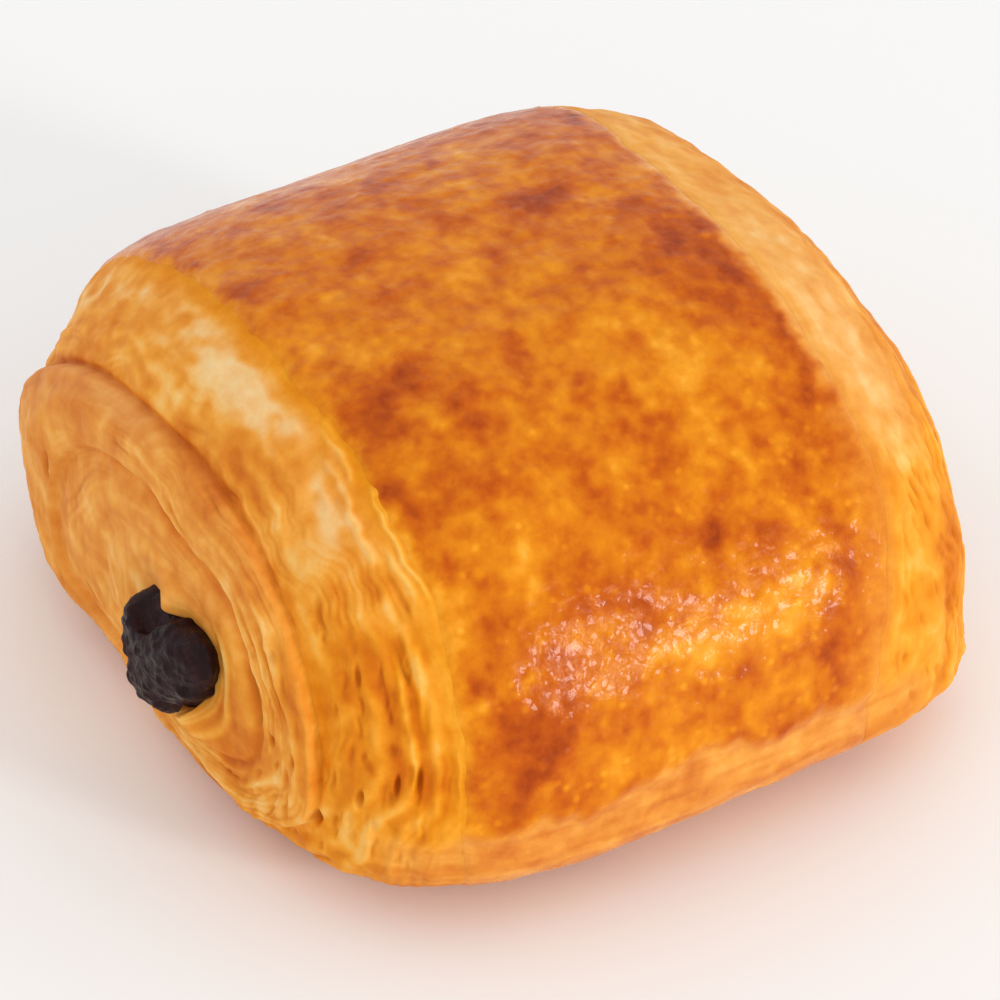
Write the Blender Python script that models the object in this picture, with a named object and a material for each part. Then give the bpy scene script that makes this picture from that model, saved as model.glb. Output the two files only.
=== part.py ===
# Mini pain au chocolat: laminated dough rolled round one stick of chocolate, baked and resting on its seam.
# X runs along the stick, Y across the roll and Z up from the surface that it rests on. Lengths are in metres.
import bmesh
import bpy
import numpy as np

MM = 0.001

# Body of the roll: a superellipse across, rounded off to its two ends by another one
HALF_LENGTH = 30.0 * MM
HALF_WIDTH = 34.1 * MM
WAIST_HEIGHT = 7.4 * MM
CROWN_RISE = 28.2 * MM
UNDERSIDE_DROP = 9.25 * MM
SECTION_POWER = 2.23
END_POWER = 3.85

# Chocolate stick, which shows at both ends of the roll
STICK_Y = -5.7 * MM
STICK_Z = 13.4 * MM
STICK_HALF_WIDTH = 5.1 * MM
STICK_HALF_HEIGHT = 3.9 * MM
STICK_POWER = 2.8
STICK_LEFT_END = -32.7 * MM
STICK_RIGHT_END = 31.2 * MM
STICK_END_ROUNDING = 2.6 * MM
STICK_END_BLUNTNESS = 0.6
STICK_LUMP = 0.35 * MM
LEFT_LUMPS_START = (3.0 * MM, 1.5 * MM)
RIGHT_LUMPS_START = (2.0 * MM, 1.0 * MM)
STICK_NUB = 0.9 * MM
STICK_NUB_ANGLE = 0.70 * np.pi
STICK_NUB_SPREAD = 0.13 * np.pi
# The left end softened in the oven and leans a little towards the near side and up, outside the dough
STICK_LEAN_Y = -1.0 * MM
STICK_LEAN_Z = 0.6 * MM
STICK_LEAN_SPAN = (29.2 * MM, 32.0 * MM)
STICK_GAP = 0.35 * MM

# The line between two turns of dough, as turns from the far side over the top, and how far out it
# lies between the chocolate (0) and the skin of the roll (1)
FOLD_TURNS = (-0.25, -0.1, 0.0, 0.055, 0.12, 0.25, 0.5, 1.0, 1.25, 1.5, 2.0, 2.75)
FOLD_REACH = (0.93, 0.88, 0.83, 0.72, 0.64, 0.615, 0.53, 0.475, 0.335, 0.27, 0.205, 0.0)
FOLDS_ACROSS = 4
FOLD_DEPTH = 0.9 * MM
FULL_DEPTH_WIDTH = 4.0 * MM
FOLD_BULGE = 0.5 * MM
LEFT_TURN_LIFT = 1.0 * MM
RIGHT_TURN_LIFT = 0.3 * MM
LIFT_STARTS = (0.68, 0.85)
LIFT_FADES = (1.0, 1.4)
LIFT_FADED = 0.6
# On the far side of the left end the outer turn draws back and the second one stands out
FAR_STEP_ANGLE = 0.92 * np.pi
FAR_STEP_SPREAD = 0.13 * np.pi
FAR_STEPS = (0.0, 0.0, 1.2 * MM, -0.8 * MM)
LAYER_STEP = 0.22 * MM
LAYERS_PER_FOLD = 2.5
MOUTH_DIMPLE = 1.3 * MM
MOUTH_REACH = 0.10

# Browned crust round the middle, standing a little proud of the paler layers at both ends
CRUST_LEFT_EDGE = -19.3 * MM
CRUST_RIGHT_EDGE = 17.0 * MM
CRUST_LEFT_FLARE = 0.8 * MM
CRUST_RIGHT_CUT = 3.6 * MM
CRUST_RISE = 0.65 * MM
CRUST_LIP_WIDTH = 0.35 * MM
CRUST_SKIRT_HEIGHT = 9.8 * MM
SKIRT_FADE = 1.2 * MM
LOW_FLANK = (0.35 * np.pi, 0.53 * np.pi)
EDGE_WAVES = ((3.0, 0.2 * MM), (7.0, 0.15 * MM))
UNEVENNESS = 0.13 * MM
SWELLS = ((1.0, 130.0, 95.0, 0.0, 0.4), (0.6, 90.0, -240.0, 60.0, 2.0), (0.5, -150.0, 40.0, 230.0, 0.7))
BASE_FADE = 2.5 * MM

# Broad places where this roll swells or draws in: centre, radii along X, Y and Z, and height, in mm
BULGES = (
    ((18.0, 16.0, 31.0), (9.0, 9.0, 9.0), 0.75),  # far shoulder towards the right end
    ((28.0, -9.0, 27.0), (4.0, 7.0, 5.0), -0.5),  # right end just below its crown
    ((-6.0, 25.0, 28.5), (10.0, 6.0, 6.0), -0.55),  # far shoulder towards the left end
    ((-30.0, 8.0, 4.0), (6.0, 9.0, 5.0), -1.3),  # left end, tucked in below the chocolate
    ((-29.5, 20.0, 9.5), (6.0, 6.0, 5.0), -0.6),  # and on its far side
)

# Mesh density
COLUMNS = 80
RINGS_PER_FOLD = 7
CRUST_RINGS = 9
CHANNEL_RINGS = 3
STICK_COLUMNS = 28
STICK_CAP_RINGS = 6
RING_CROWDING = 0.06
MERIDIAN_SAMPLES = 500
HALVINGS = 40


def remove_scene_objects():
    for scene_object in list(bpy.data.objects):
        bpy.data.objects.remove(scene_object, do_unlink=True)


def smooth_step(value, low, high):
    share = np.clip((value - low) / (high - low), 0.0, 1.0)
    return share * share * (3.0 - 2.0 * share)


def smooth_curve(value, knots, heights):
    # Cubic pieces through the knots, with the slope at each one taken from its neighbours
    knots = np.asarray(knots)
    heights = np.asarray(heights)
    slopes = np.gradient(heights, knots)
    piece = np.clip(np.searchsorted(knots, value, side="right") - 1, 0, len(knots) - 2)
    width = knots[piece + 1] - knots[piece]
    share = (value - knots[piece]) / width
    rise = heights[piece + 1] - heights[piece]
    start = slopes[piece] * width
    end = slopes[piece + 1] * width
    return heights[piece] + share * (
        start + share * (3.0 * rise - 2.0 * start - end + share * (start + end - 2.0 * rise)))


def section_level(y, z):
    # 1 on the skin of the full section, less inside it
    above = z - WAIST_HEIGHT
    reach = np.where(above > 0.0, CROWN_RISE, UNDERSIDE_DROP)
    level = np.abs(y / HALF_WIDTH) ** SECTION_POWER + np.abs(above / reach) ** SECTION_POWER
    return level ** (1.0 / SECTION_POWER)


def body_normal(x, y, z):
    above = z - WAIST_HEIGHT
    reach = np.where(above > 0.0, CROWN_RISE, UNDERSIDE_DROP)
    level = np.maximum(section_level(y, z), 1e-6)
    across = level ** (END_POWER - SECTION_POWER)
    along_x = np.sign(x) * np.abs(x / HALF_LENGTH) ** (END_POWER - 1.0) / HALF_LENGTH
    along_y = np.sign(y) * across * np.abs(y / HALF_WIDTH) ** (SECTION_POWER - 1.0) / HALF_WIDTH
    along_z = np.sign(above) * across * np.abs(above / reach) ** (SECTION_POWER - 1.0) / reach
    normal = np.stack([along_x, along_y, along_z], axis=-1)
    return normal / np.linalg.norm(normal, axis=-1, keepdims=True)


def skin_distance(angle):
    # From the stick's axis to the skin or the flat base, by halving the interval
    low = np.zeros_like(angle)
    high = np.full_like(angle, 2.0 * HALF_WIDTH)
    for _ in range(HALVINGS):
        middle = 0.5 * (low + high)
        y = STICK_Y - middle * np.cos(angle)
        z = STICK_Z + middle * np.sin(angle)
        inside = (section_level(y, z) < 1.0) & (z > 0.0)
        low = np.where(inside, middle, low)
        high = np.where(inside, high, middle)
    return low


def column_angles(count):
    # Angles about the stick from straight down, over the near side and the crown and back, evenly
    # spaced along the skin
    angle = np.linspace(-0.5 * np.pi, 1.5 * np.pi, 4001)
    distance = skin_distance(angle)
    y = STICK_Y - distance * np.cos(angle)
    z = STICK_Z + distance * np.sin(angle)
    run = np.concatenate([[0.0], np.cumsum(np.hypot(np.diff(y), np.diff(z)))])
    return np.interp(np.linspace(0.0, run[-1], count + 1), run, angle)


def stick_distance(angle, margin=0.0):
    level = (np.abs(np.cos(angle) / (STICK_HALF_WIDTH + margin)) ** STICK_POWER
             + np.abs(np.sin(angle) / (STICK_HALF_HEIGHT + margin)) ** STICK_POWER)
    return level ** (-1.0 / STICK_POWER)


class Meridian:
    # The smooth body along one angle, from the hole for the stick at one end to the middle of the roll
    def __init__(self, angle, side):
        self.angle = angle
        self.skin = float(skin_distance(np.array([angle]))[0])
        self.hole = float(stick_distance(angle, STICK_GAP)) / self.skin
        turn = np.linspace(0.0, 0.5 * np.pi, MERIDIAN_SAMPLES)
        low = np.zeros_like(turn)
        high = np.minimum(2.0, 1.0 / np.maximum(np.sin(turn), 1e-6))
        for _ in range(HALVINGS):
            middle = 0.5 * (low + high)
            out = middle * np.sin(turn)
            y, z = self.place(out)
            level = (middle * np.cos(turn)) ** END_POWER + section_level(y, z) ** END_POWER
            low = np.where(level < 1.0, middle, low)
            high = np.where(level < 1.0, high, middle)
        self.out = low * np.sin(turn)
        self.x = side * HALF_LENGTH * low * np.cos(turn)
        y, z = self.place(self.out)
        steps = np.sqrt(np.diff(self.x) ** 2 + np.diff(y) ** 2 + np.diff(z) ** 2)
        self.run = np.concatenate([[0.0], np.cumsum(steps)])
        self.side = side

    def place(self, out):
        y = STICK_Y - out * self.skin * np.cos(self.angle)
        z = STICK_Z + out * self.skin * np.sin(self.angle)
        return y, z

    def run_at_reach(self, reach):
        # Reach is 0 at the hole and 1 at the skin
        return float(np.interp(self.hole + reach * (1.0 - self.hole), self.out, self.run))

    def run_at_x(self, x):
        return float(np.interp(-self.side * x, -self.side * self.x, self.run))

    def points(self, run):
        out = np.interp(run, self.run, self.out)
        x = np.interp(run, self.run, self.x)
        y, z = self.place(out)
        return x, y, z


def crust_edge(angle, side):
    # The crust's edges run straight over the roll. Low on both flanks the left one spreads outwards and
    # the right one draws in.
    low_flank = smooth_step(np.abs(angle - 0.5 * np.pi), *LOW_FLANK)
    wave = sum(size * np.sin(count * angle + side) for count, size in EDGE_WAVES)
    if side < 0:
        return CRUST_LEFT_EDGE + wave - CRUST_LEFT_FLARE * low_flank
    return CRUST_RIGHT_EDGE + wave - CRUST_RIGHT_CUT * low_flank


def fold_relief(share, turns, run_length, side):
    # Height across one turn of dough, from the groove inside it to the groove outside it. Over the crown
    # the second turn stands out from the first one.
    pillow = 1.0 - np.abs(2.0 * share - 1.0) ** 4
    depth = FOLD_DEPTH * np.minimum(1.0, run_length / FULL_DEPTH_WIDTH)
    layers = LAYER_STEP * (np.mod(LAYERS_PER_FOLD * share, 1.0) - 0.5) * pillow
    full_lift = LEFT_TURN_LIFT if side < 0 else RIGHT_TURN_LIFT
    lift = full_lift * smooth_step(turns, *LIFT_STARTS)
    lift = lift * (1.0 - LIFT_FADED * smooth_step(turns, *LIFT_FADES))
    return -CRUST_RISE - depth + (depth + FOLD_BULGE) * pillow + layers + lift


def unevenness(x, y, z):
    # Slow swells of the risen dough, and the broad bulges of this one roll
    swell = 0.0
    for strength, along_x, along_y, along_z, phase in SWELLS:
        swell = swell + strength * np.sin(along_x * x + along_y * y + along_z * z + phase)
    height = UNEVENNESS * swell
    for centre, radii, rise in BULGES:
        away = sum(((place / MM - middle) / radius) ** 2
                   for place, middle, radius in zip((x, y, z), centre, radii))
        height = height + rise * MM * np.exp(-away)
    return height


def end_runs_and_heights(meridian, share_of_turn):
    # Ring places from the hole to the foot of the crust's lip, with the relief at each one
    side = meridian.side
    edge_run = meridian.run_at_x(crust_edge(meridian.angle, side))
    first_turn = 0.75 - share_of_turn
    fold_turns = first_turn + np.arange(FOLDS_ACROSS)[::-1]
    fold_runs = [meridian.run_at_reach(0.0)]
    for turns in fold_turns[1:]:
        reach = float(smooth_curve(turns, FOLD_TURNS, FOLD_REACH))
        run = meridian.run_at_reach(max(reach, 0.0))
        to_edge = float(smooth_step(turns, 0.0, -0.25))
        fold_runs.append(run + (edge_run - run) * to_edge)
    fold_runs.append(edge_run)
    shares = np.linspace(0.0, 1.0, RINGS_PER_FOLD + 1)
    shares = shares + RING_CROWDING * np.sin(2.0 * np.pi * shares)
    step = np.exp(-((meridian.angle - FAR_STEP_ANGLE) / FAR_STEP_SPREAD) ** 2) if side < 0 else 0.0
    runs = [fold_runs[0]]
    heights = [0.0]
    for fold in range(FOLDS_ACROSS):
        inner = fold_runs[fold]
        outer = fold_runs[fold + 1]
        for share in shares[1:]:
            runs.append(inner + (outer - inner) * share)
            turns = fold_turns[fold] - 0.5 * share
            relief = float(fold_relief(share, turns, outer - inner, side))
            heights.append(relief + FAR_STEPS[fold] * step * 4.0 * share * (1.0 - share))
    return np.array(runs), np.array(heights)


def end_rings(angles, side):
    rings = FOLDS_ACROSS * RINGS_PER_FOLD + 1
    points = np.zeros((COLUMNS, rings, 3))
    for column in range(COLUMNS):
        angle = angles[column]
        meridian = Meridian(angle, side)
        share_of_turn = (angle + 0.5 * np.pi) / (2.0 * np.pi)
        runs, heights = end_runs_and_heights(meridian, share_of_turn)
        x, y, z = meridian.points(runs)
        from_hole = (runs - runs[0]) / (meridian.run_at_reach(1.0) - runs[0])
        near_hole = 1.0 - smooth_step(from_hole, 0.0, MOUTH_REACH)
        heights = heights * (1.0 - near_hole) - MOUTH_DIMPLE * near_hole
        heights[-1] = -CRUST_RISE
        heights = (heights + unevenness(x, y, z)) * smooth_step(z, 0.0, BASE_FADE)
        points[column] = np.stack([x, y, z], axis=-1) + body_normal(x, y, z) * heights[:, None]
    return points


def crust_rings(angles):
    # Rings from lip to lip over the browned middle of the roll
    points = np.zeros((COLUMNS, CRUST_RINGS, 3))
    for column in range(COLUMNS):
        angle = angles[column]
        left = crust_edge(angle, -1.0) + CRUST_LIP_WIDTH
        right = crust_edge(angle, 1.0) - CRUST_LIP_WIDTH
        stations = left + (right - left) * np.linspace(0.0, 1.0, CRUST_RINGS)
        halves = (Meridian(angle, -1.0), Meridian(angle, 1.0))
        for ring, station in enumerate(stations):
            meridian = halves[int(station > 0.0)]
            x, y, z = meridian.points(meridian.run_at_x(station))
            below = CRUST_RISE * (1.0 - smooth_step(z, CRUST_SKIRT_HEIGHT - SKIRT_FADE, CRUST_SKIRT_HEIGHT))
            height = (unevenness(x, y, z) - below) * smooth_step(z, 0.0, BASE_FADE)
            points[column, ring] = np.array([x, y, z]) + body_normal(x, y, z) * height
    return points


def channel_rings(left_end, right_end):
    # Rings of the hole that the stick runs through, from the right end back to the left one
    points = np.zeros((COLUMNS, CHANNEL_RINGS, 3))
    for ring in range(CHANNEL_RINGS):
        share = (ring + 1.0) / (CHANNEL_RINGS + 1.0)
        points[:, ring] = right_end + (left_end - right_end) * share
    return points


def spiral_ids(mesh, points):
    # Vertices of one end. The dough's inner tip closes to a point at the hole, the outer one at the crust,
    # and after one turn round the stick each fold meets the next fold inwards.
    rings = points.shape[1]
    ids = []
    for column in range(COLUMNS):
        row = []
        for ring in range(rings):
            collapsed = column == 0 and 0 < ring <= RINGS_PER_FOLD
            row.append(row[0] if collapsed else mesh.verts.new(points[column, ring]))
        ids.append(row)
    ids.append(ids[0][RINGS_PER_FOLD:] + [ids[0][-1]] * RINGS_PER_FOLD)
    return ids


def plain_ids(mesh, points):
    ids = [[mesh.verts.new(point) for point in column] for column in points]
    ids.append(ids[0])
    return ids


def add_faces(mesh, ids):
    for column in range(len(ids) - 1):
        near = ids[column]
        far = ids[column + 1]
        for ring in range(len(near) - 1):
            corners = []
            for corner in (near[ring], near[ring + 1], far[ring + 1], far[ring]):
                if corner not in corners:
                    corners.append(corner)
            if len(corners) > 2:
                mesh.faces.new(corners)


def make_material(name, colour, roughness):
    material = bpy.data.materials.new(name)
    material.use_nodes = True
    shader = material.node_tree.nodes["Principled BSDF"]
    shader.inputs["Base Color"].default_value = (*colour, 1.0)
    shader.inputs["Roughness"].default_value = roughness
    shader.inputs["Metallic"].default_value = 0.0
    return material


def make_object(name, mesh, material):
    bmesh.ops.triangulate(mesh, faces=mesh.faces[:])
    bmesh.ops.recalc_face_normals(mesh, faces=mesh.faces[:])
    data = bpy.data.meshes.new(name)
    mesh.to_mesh(data)
    mesh.free()
    data.shade_smooth()
    data.materials.append(material)
    item = bpy.data.objects.new(name, data)
    bpy.context.scene.collection.objects.link(item)
    return item


def make_pastry():
    angles = column_angles(COLUMNS)
    left_points = end_rings(angles, -1.0)
    right_points = end_rings(angles, 1.0)
    mesh = bmesh.new()
    left = spiral_ids(mesh, left_points)
    crust = plain_ids(mesh, crust_rings(angles))
    right = spiral_ids(mesh, right_points)
    channel = plain_ids(mesh, channel_rings(left_points[:, 0], right_points[:, 0]))
    loops = []
    for column in range(COLUMNS + 1):
        loops.append(left[column] + crust[column] + right[column][::-1] + channel[column] + [left[column][0]])
    add_faces(mesh, loops)
    pastry = make_material("baked laminated dough", (0.72, 0.33, 0.05), 0.45)
    return make_object("pastry", mesh, pastry)


def stick_lump(x, angle):
    # Only the ends that show are lumpy, so that the stick keeps its gap to the dough inside the roll
    left = smooth_step(-x, *(-STICK_LEFT_END - start for start in LEFT_LUMPS_START))
    right = smooth_step(x, *(STICK_RIGHT_END - start for start in RIGHT_LUMPS_START))
    wave = np.sin(3.0 * angle + 0.9) + 0.7 * np.sin(5.0 * angle + 900.0 * x)
    nub = STICK_NUB * np.exp(-((angle - STICK_NUB_ANGLE) / STICK_NUB_SPREAD) ** 2) * left
    return STICK_LUMP * wave * (left + right) + nub


def make_stick():
    angles = np.linspace(0.0, 2.0 * np.pi, STICK_COLUMNS, endpoint=False)
    cap = np.linspace(0.0, 0.5 * np.pi, STICK_CAP_RINGS + 1)[1:]
    left_stations = STICK_LEFT_END + STICK_END_ROUNDING * (1.0 - np.cos(cap))
    right_stations = STICK_RIGHT_END - STICK_END_ROUNDING * (1.0 - np.cos(cap[::-1]))
    stations = np.concatenate([left_stations, [-STICK_LEAN_SPAN[0]], right_stations])
    sizes = np.concatenate([np.sin(cap), [1.0], np.sin(cap[::-1])]) ** STICK_END_BLUNTNESS
    lean = smooth_step(-stations, *STICK_LEAN_SPAN)
    mesh = bmesh.new()
    ids = []
    for angle in angles:
        distance = stick_distance(angle) * sizes
        distance = distance + stick_lump(stations, angle) * sizes
        y = STICK_Y + STICK_LEAN_Y * lean - distance * np.cos(angle)
        z = STICK_Z + STICK_LEAN_Z * lean + distance * np.sin(angle)
        ids.append([mesh.verts.new(point) for point in zip(stations, y, z)])
    ids.append(ids[0])
    add_faces(mesh, ids)
    left_pole = (STICK_LEFT_END, STICK_Y + STICK_LEAN_Y, STICK_Z + STICK_LEAN_Z)
    for end, place in ((0, left_pole), (-1, (STICK_RIGHT_END, STICK_Y, STICK_Z))):
        pole = mesh.verts.new(place)
        for column in range(STICK_COLUMNS):
            mesh.faces.new((pole, ids[column][end], ids[column + 1][end]))
    chocolate = make_material("dark chocolate", (0.032, 0.016, 0.018), 0.5)
    return make_object("chocolate_stick", mesh, chocolate)


remove_scene_objects()
make_pastry()
make_stick()
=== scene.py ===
# Mini pain au chocolat, dressed over its solids: glazed crust, layered dough ends and the chocolate stick
import math

import bpy
import numpy as np
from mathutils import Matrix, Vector


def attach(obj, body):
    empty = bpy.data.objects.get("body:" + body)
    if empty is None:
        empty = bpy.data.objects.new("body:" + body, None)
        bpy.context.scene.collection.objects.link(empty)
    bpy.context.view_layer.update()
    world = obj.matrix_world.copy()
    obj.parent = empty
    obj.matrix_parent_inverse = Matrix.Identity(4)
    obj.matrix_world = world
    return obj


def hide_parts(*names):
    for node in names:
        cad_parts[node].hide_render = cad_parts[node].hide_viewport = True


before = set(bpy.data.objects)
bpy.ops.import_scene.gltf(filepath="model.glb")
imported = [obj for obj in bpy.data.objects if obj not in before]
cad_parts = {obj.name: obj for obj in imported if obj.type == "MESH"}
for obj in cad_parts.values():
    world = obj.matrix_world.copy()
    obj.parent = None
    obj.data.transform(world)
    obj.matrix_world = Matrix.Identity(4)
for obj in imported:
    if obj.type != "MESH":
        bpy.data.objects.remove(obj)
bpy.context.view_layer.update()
bpy.ops.object.select_all(action="DESELECT")

mm = 0.001

# A mottling is written as its strength, its size in mm (alike or along x, y and z), its seed and its octaves.
# Angles go round the stick: 0 faces the near side and a quarter turn on is the crown.
# Those that are written without pi are in degrees.

roll = {  # the form of the whole roll, as its solid has it
    "halfLength": 30.0 * mm,
    "halfWidth": 34.1 * mm,
    "waistHeight": 7.4 * mm,
    "crownRise": 28.2 * mm,
    "undersideDrop": 9.25 * mm,
    "sectionPower": 2.23,
    "endPower": 3.85,
    "baseFade": 2.5 * mm,  # all relief fades out over this height above the flat base
    "unevenness": 0.13 * mm,
    "swells": (  # strength, waves along x, y and z, and phase
        (1.0, 130.0, 95.0, 0.0, 0.4), (0.6, 90.0, -240.0, 60.0, 2.0), (0.5, -150.0, 40.0, 230.0, 0.7)),
    "bulges": (  # centre, radii and height in mm
        ((18.0, 16.0, 31.0), (9.0, 9.0, 9.0), 0.75),
        ((28.0, -9.0, 27.0), (4.0, 7.0, 5.0), -0.5),
        ((-6.0, 25.0, 28.5), (10.0, 6.0, 6.0), -0.55),
        ((-30.0, 8.0, 4.0), (6.0, 9.0, 5.0), -1.3),
        ((-29.5, 20.0, 9.5), (6.0, 6.0, 5.0), -0.6),
    ),
    "bumps": (0.16 * mm, 5.5, 51, 3),
}

stick = {  # the chocolate's section, whose middle is the axis that the dough is rolled round
    "y": -5.7 * mm,
    "z": 13.4 * mm,
    "halfWidth": 5.1 * mm,
    "halfHeight": 3.9 * mm,
    "power": 2.8,
    "dentInDough": 0.15 * mm,
}

search = {  # how finely distances and meridians are worked out
    "halvings": 34,
    "angles": 6001,
    "meridianSteps": 420,
}

# large numbers that turn a cell's place and the seed into the slopes of its noise
scramble = (73856093, 19349663, 83492791, 2654435761, 1274126177)


def smoothStep(value, low, high):
    share = np.clip((value - low) / (high - low), 0.0, 1.0)
    return share * share * (3.0 - 2.0 * share)


def bell(value, middle, spread, power=2):
    return np.exp(-((value - middle) / spread) ** power)


def softNoise(x, y, z, seed=0):
    # gradient noise between about -1 and 1, the same on every run
    place = np.stack(np.broadcast_arrays(x, y, z), axis=-1).astype(float)
    cell = np.floor(place).astype(np.int64)
    inside = place - cell
    blend = inside ** 3 * (inside * (6.0 * inside - 15.0) + 10.0)
    total = np.zeros(place.shape[:-1])
    for corner in range(8):
        step = np.array([corner & 1, corner >> 1 & 1, corner >> 2 & 1])
        spot = (cell + step) * scramble[:3]
        code = spot[..., 0] ^ spot[..., 1] ^ spot[..., 2] ^ seed * scramble[3]
        code = (code ^ code >> 13) * scramble[4] & 0x7FFFFFFF
        weight = np.prod(np.where(step, blend, 1.0 - blend), axis=-1)
        push = np.zeros(place.shape[:-1])
        for axis in range(3):
            slope = ((code >> (3 + 8 * axis)) & 255) / 127.5 - 1.0
            push += slope * (inside[..., axis] - step[axis])
        total += weight * push
    return 1.5 * total


def layeredNoise(x, y, z, seed, octaves):
    total = 0.0
    strength = 1.0
    for octave in range(octaves):
        size = 2.0 ** octave
        total = total + strength * softNoise(x * size + 7.3 * octave, y * size, z * size, seed + octave)
        strength *= 0.5
    return total


def mottling(place, strength, size, seed, octaves):
    scaled = [coordinate / (length * mm) for coordinate, length in zip(place, np.broadcast_to(size, 3))]
    return strength * layeredNoise(*scaled, seed, octaves)


def smoothCurve(value, knots, heights):
    # cubic pieces through the knots, with the slope at each one taken from its neighbours
    knots = np.asarray(knots)
    heights = np.asarray(heights)
    slopes = np.gradient(heights, knots)
    piece = np.clip(np.searchsorted(knots, value, side="right") - 1, 0, len(knots) - 2)
    width = knots[piece + 1] - knots[piece]
    share = (value - knots[piece]) / width
    climb = heights[piece + 1] - heights[piece]
    start = slopes[piece] * width
    end = slopes[piece + 1] * width
    return heights[piece] + share * (
        start + share * (3.0 * climb - 2.0 * start - end + share * (start + end - 2.0 * climb)))


def lastInside(test, low, high):
    # halves the gap again and again, down to the furthest value that passes the test
    for _ in range(search["halvings"]):
        middle = 0.5 * (low + high)
        inside = test(middle)
        low = np.where(inside, middle, low)
        high = np.where(inside, high, middle)
    return low


def fromStick(angle, distance):
    return stick["y"] - distance * np.cos(angle), stick["z"] + distance * np.sin(angle)


def stickDistance(angle, margin=0.0):
    level = (np.abs(np.cos(angle) / (stick["halfWidth"] + margin)) ** stick["power"]
             + np.abs(np.sin(angle) / (stick["halfHeight"] + margin)) ** stick["power"])
    return level ** (-1.0 / stick["power"])


def waistSplit(z):
    # height over the widest level, and how far the section reaches on that side of it
    above = z - roll["waistHeight"]
    return above, np.where(above > 0.0, roll["crownRise"], roll["undersideDrop"])


def sectionLevel(y, z):
    above, reach = waistSplit(z)
    power = roll["sectionPower"]
    return (np.abs(y / roll["halfWidth"]) ** power + np.abs(above / reach) ** power) ** (1.0 / power)


def bodyNormal(x, y, z):
    above, reach = waistSplit(z)
    across = roll["sectionPower"] - 1.0
    along = roll["endPower"] - 1.0
    level = np.maximum(sectionLevel(y, z), 1e-6) ** (along - across)
    normal = np.stack([
        np.sign(x) * np.abs(x / roll["halfLength"]) ** along / roll["halfLength"],
        np.sign(y) * level * np.abs(y / roll["halfWidth"]) ** across / roll["halfWidth"],
        np.sign(above) * level * np.abs(above / reach) ** across / reach,
    ], axis=-1)
    return normal / np.linalg.norm(normal, axis=-1, keepdims=True)


def raisedSkin(place, height):
    # points of the smooth body, moved out along its normal
    return np.stack(place, axis=-1) + bodyNormal(*place) * height[..., None]


def unevenness(place):
    x, y, z = place
    swell = 0.0
    for strength, alongX, alongY, alongZ, phase in roll["swells"]:
        swell = swell + strength * np.sin(alongX * x + alongY * y + alongZ * z + phase)
    height = roll["unevenness"] * swell
    for centre, radii, rise in roll["bulges"]:
        away = sum(((coordinate / mm - middle) / radius) ** 2
                   for coordinate, middle, radius in zip(place, centre, radii))
        height = height + rise * mm * np.exp(-away)
    return height


def sharedBumps(place):
    # slow bumps that crust and ends have alike, so that their skins meet cleanly
    return mottling(place, *roll["bumps"])


def skinDistance(angle):
    def isDough(distance):
        y, z = fromStick(angle, distance)
        return (sectionLevel(y, z) < 1.0) & (z > 0.0)

    return lastInside(isDough, np.zeros_like(angle), np.full_like(angle, 2.0 * roll["halfWidth"]))


def columnAngles(count, baseShare):
    # from straight down, over the near side and the crown and back, with fewer columns under the base
    angle = np.linspace(-0.5 * np.pi, 1.5 * np.pi, search["angles"])
    y, z = fromStick(angle, skinDistance(angle))
    steps = np.hypot(np.diff(y), np.diff(z)) * np.where(z[1:] < 0.4 * mm, baseShare, 1.0)
    run = np.concatenate([[0.0], np.cumsum(steps)])
    return np.interp(np.linspace(0.0, run[-1], count), run, angle)


def rowInterp(wanted, places, values):
    return np.stack([np.interp(w, p, v) for w, p, v in zip(wanted, places, values)])


class Meridians:
    # the smooth body along each column's angle, from the hole at one end to the middle of the roll
    def __init__(self, angles, side):
        self.angles = angles[:, None]
        self.side = side
        self.skin = skinDistance(angles)[:, None]
        self.hole = stickDistance(self.angles, -stick["dentInDough"]) / self.skin
        turn = np.linspace(0.0, 0.5 * np.pi, search["meridianSteps"])[None, :]
        power = roll["endPower"]

        def isDough(size):
            y, z = self.section(size * np.sin(turn))
            return (size * np.cos(turn)) ** power + sectionLevel(y, z) ** power < 1.0

        nothing = np.zeros((len(angles), turn.shape[1]))
        size = lastInside(isDough, nothing, np.minimum(2.0, 1.0 / np.maximum(np.sin(turn), 1e-6)) + nothing)
        self.out = size * np.sin(turn)
        self.x = side * roll["halfLength"] * size * np.cos(turn)
        y, z = self.section(self.out)
        steps = np.sqrt(np.diff(self.x) ** 2 + np.diff(y) ** 2 + np.diff(z) ** 2)
        self.run = np.concatenate([nothing[:, :1], np.cumsum(steps, axis=1)], axis=1)

    def section(self, out):
        return fromStick(self.angles, out * self.skin)

    def runAtReach(self, reach):
        return rowInterp(self.hole + reach * (1.0 - self.hole), self.out, self.run)

    def runAtX(self, x):
        return rowInterp(-self.side * x, -self.side * self.x, self.run)

    def points(self, run):
        x = rowInterp(run, self.run, self.x)
        y, z = self.section(rowInterp(run, self.run, self.out))
        return x, y, z


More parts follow.
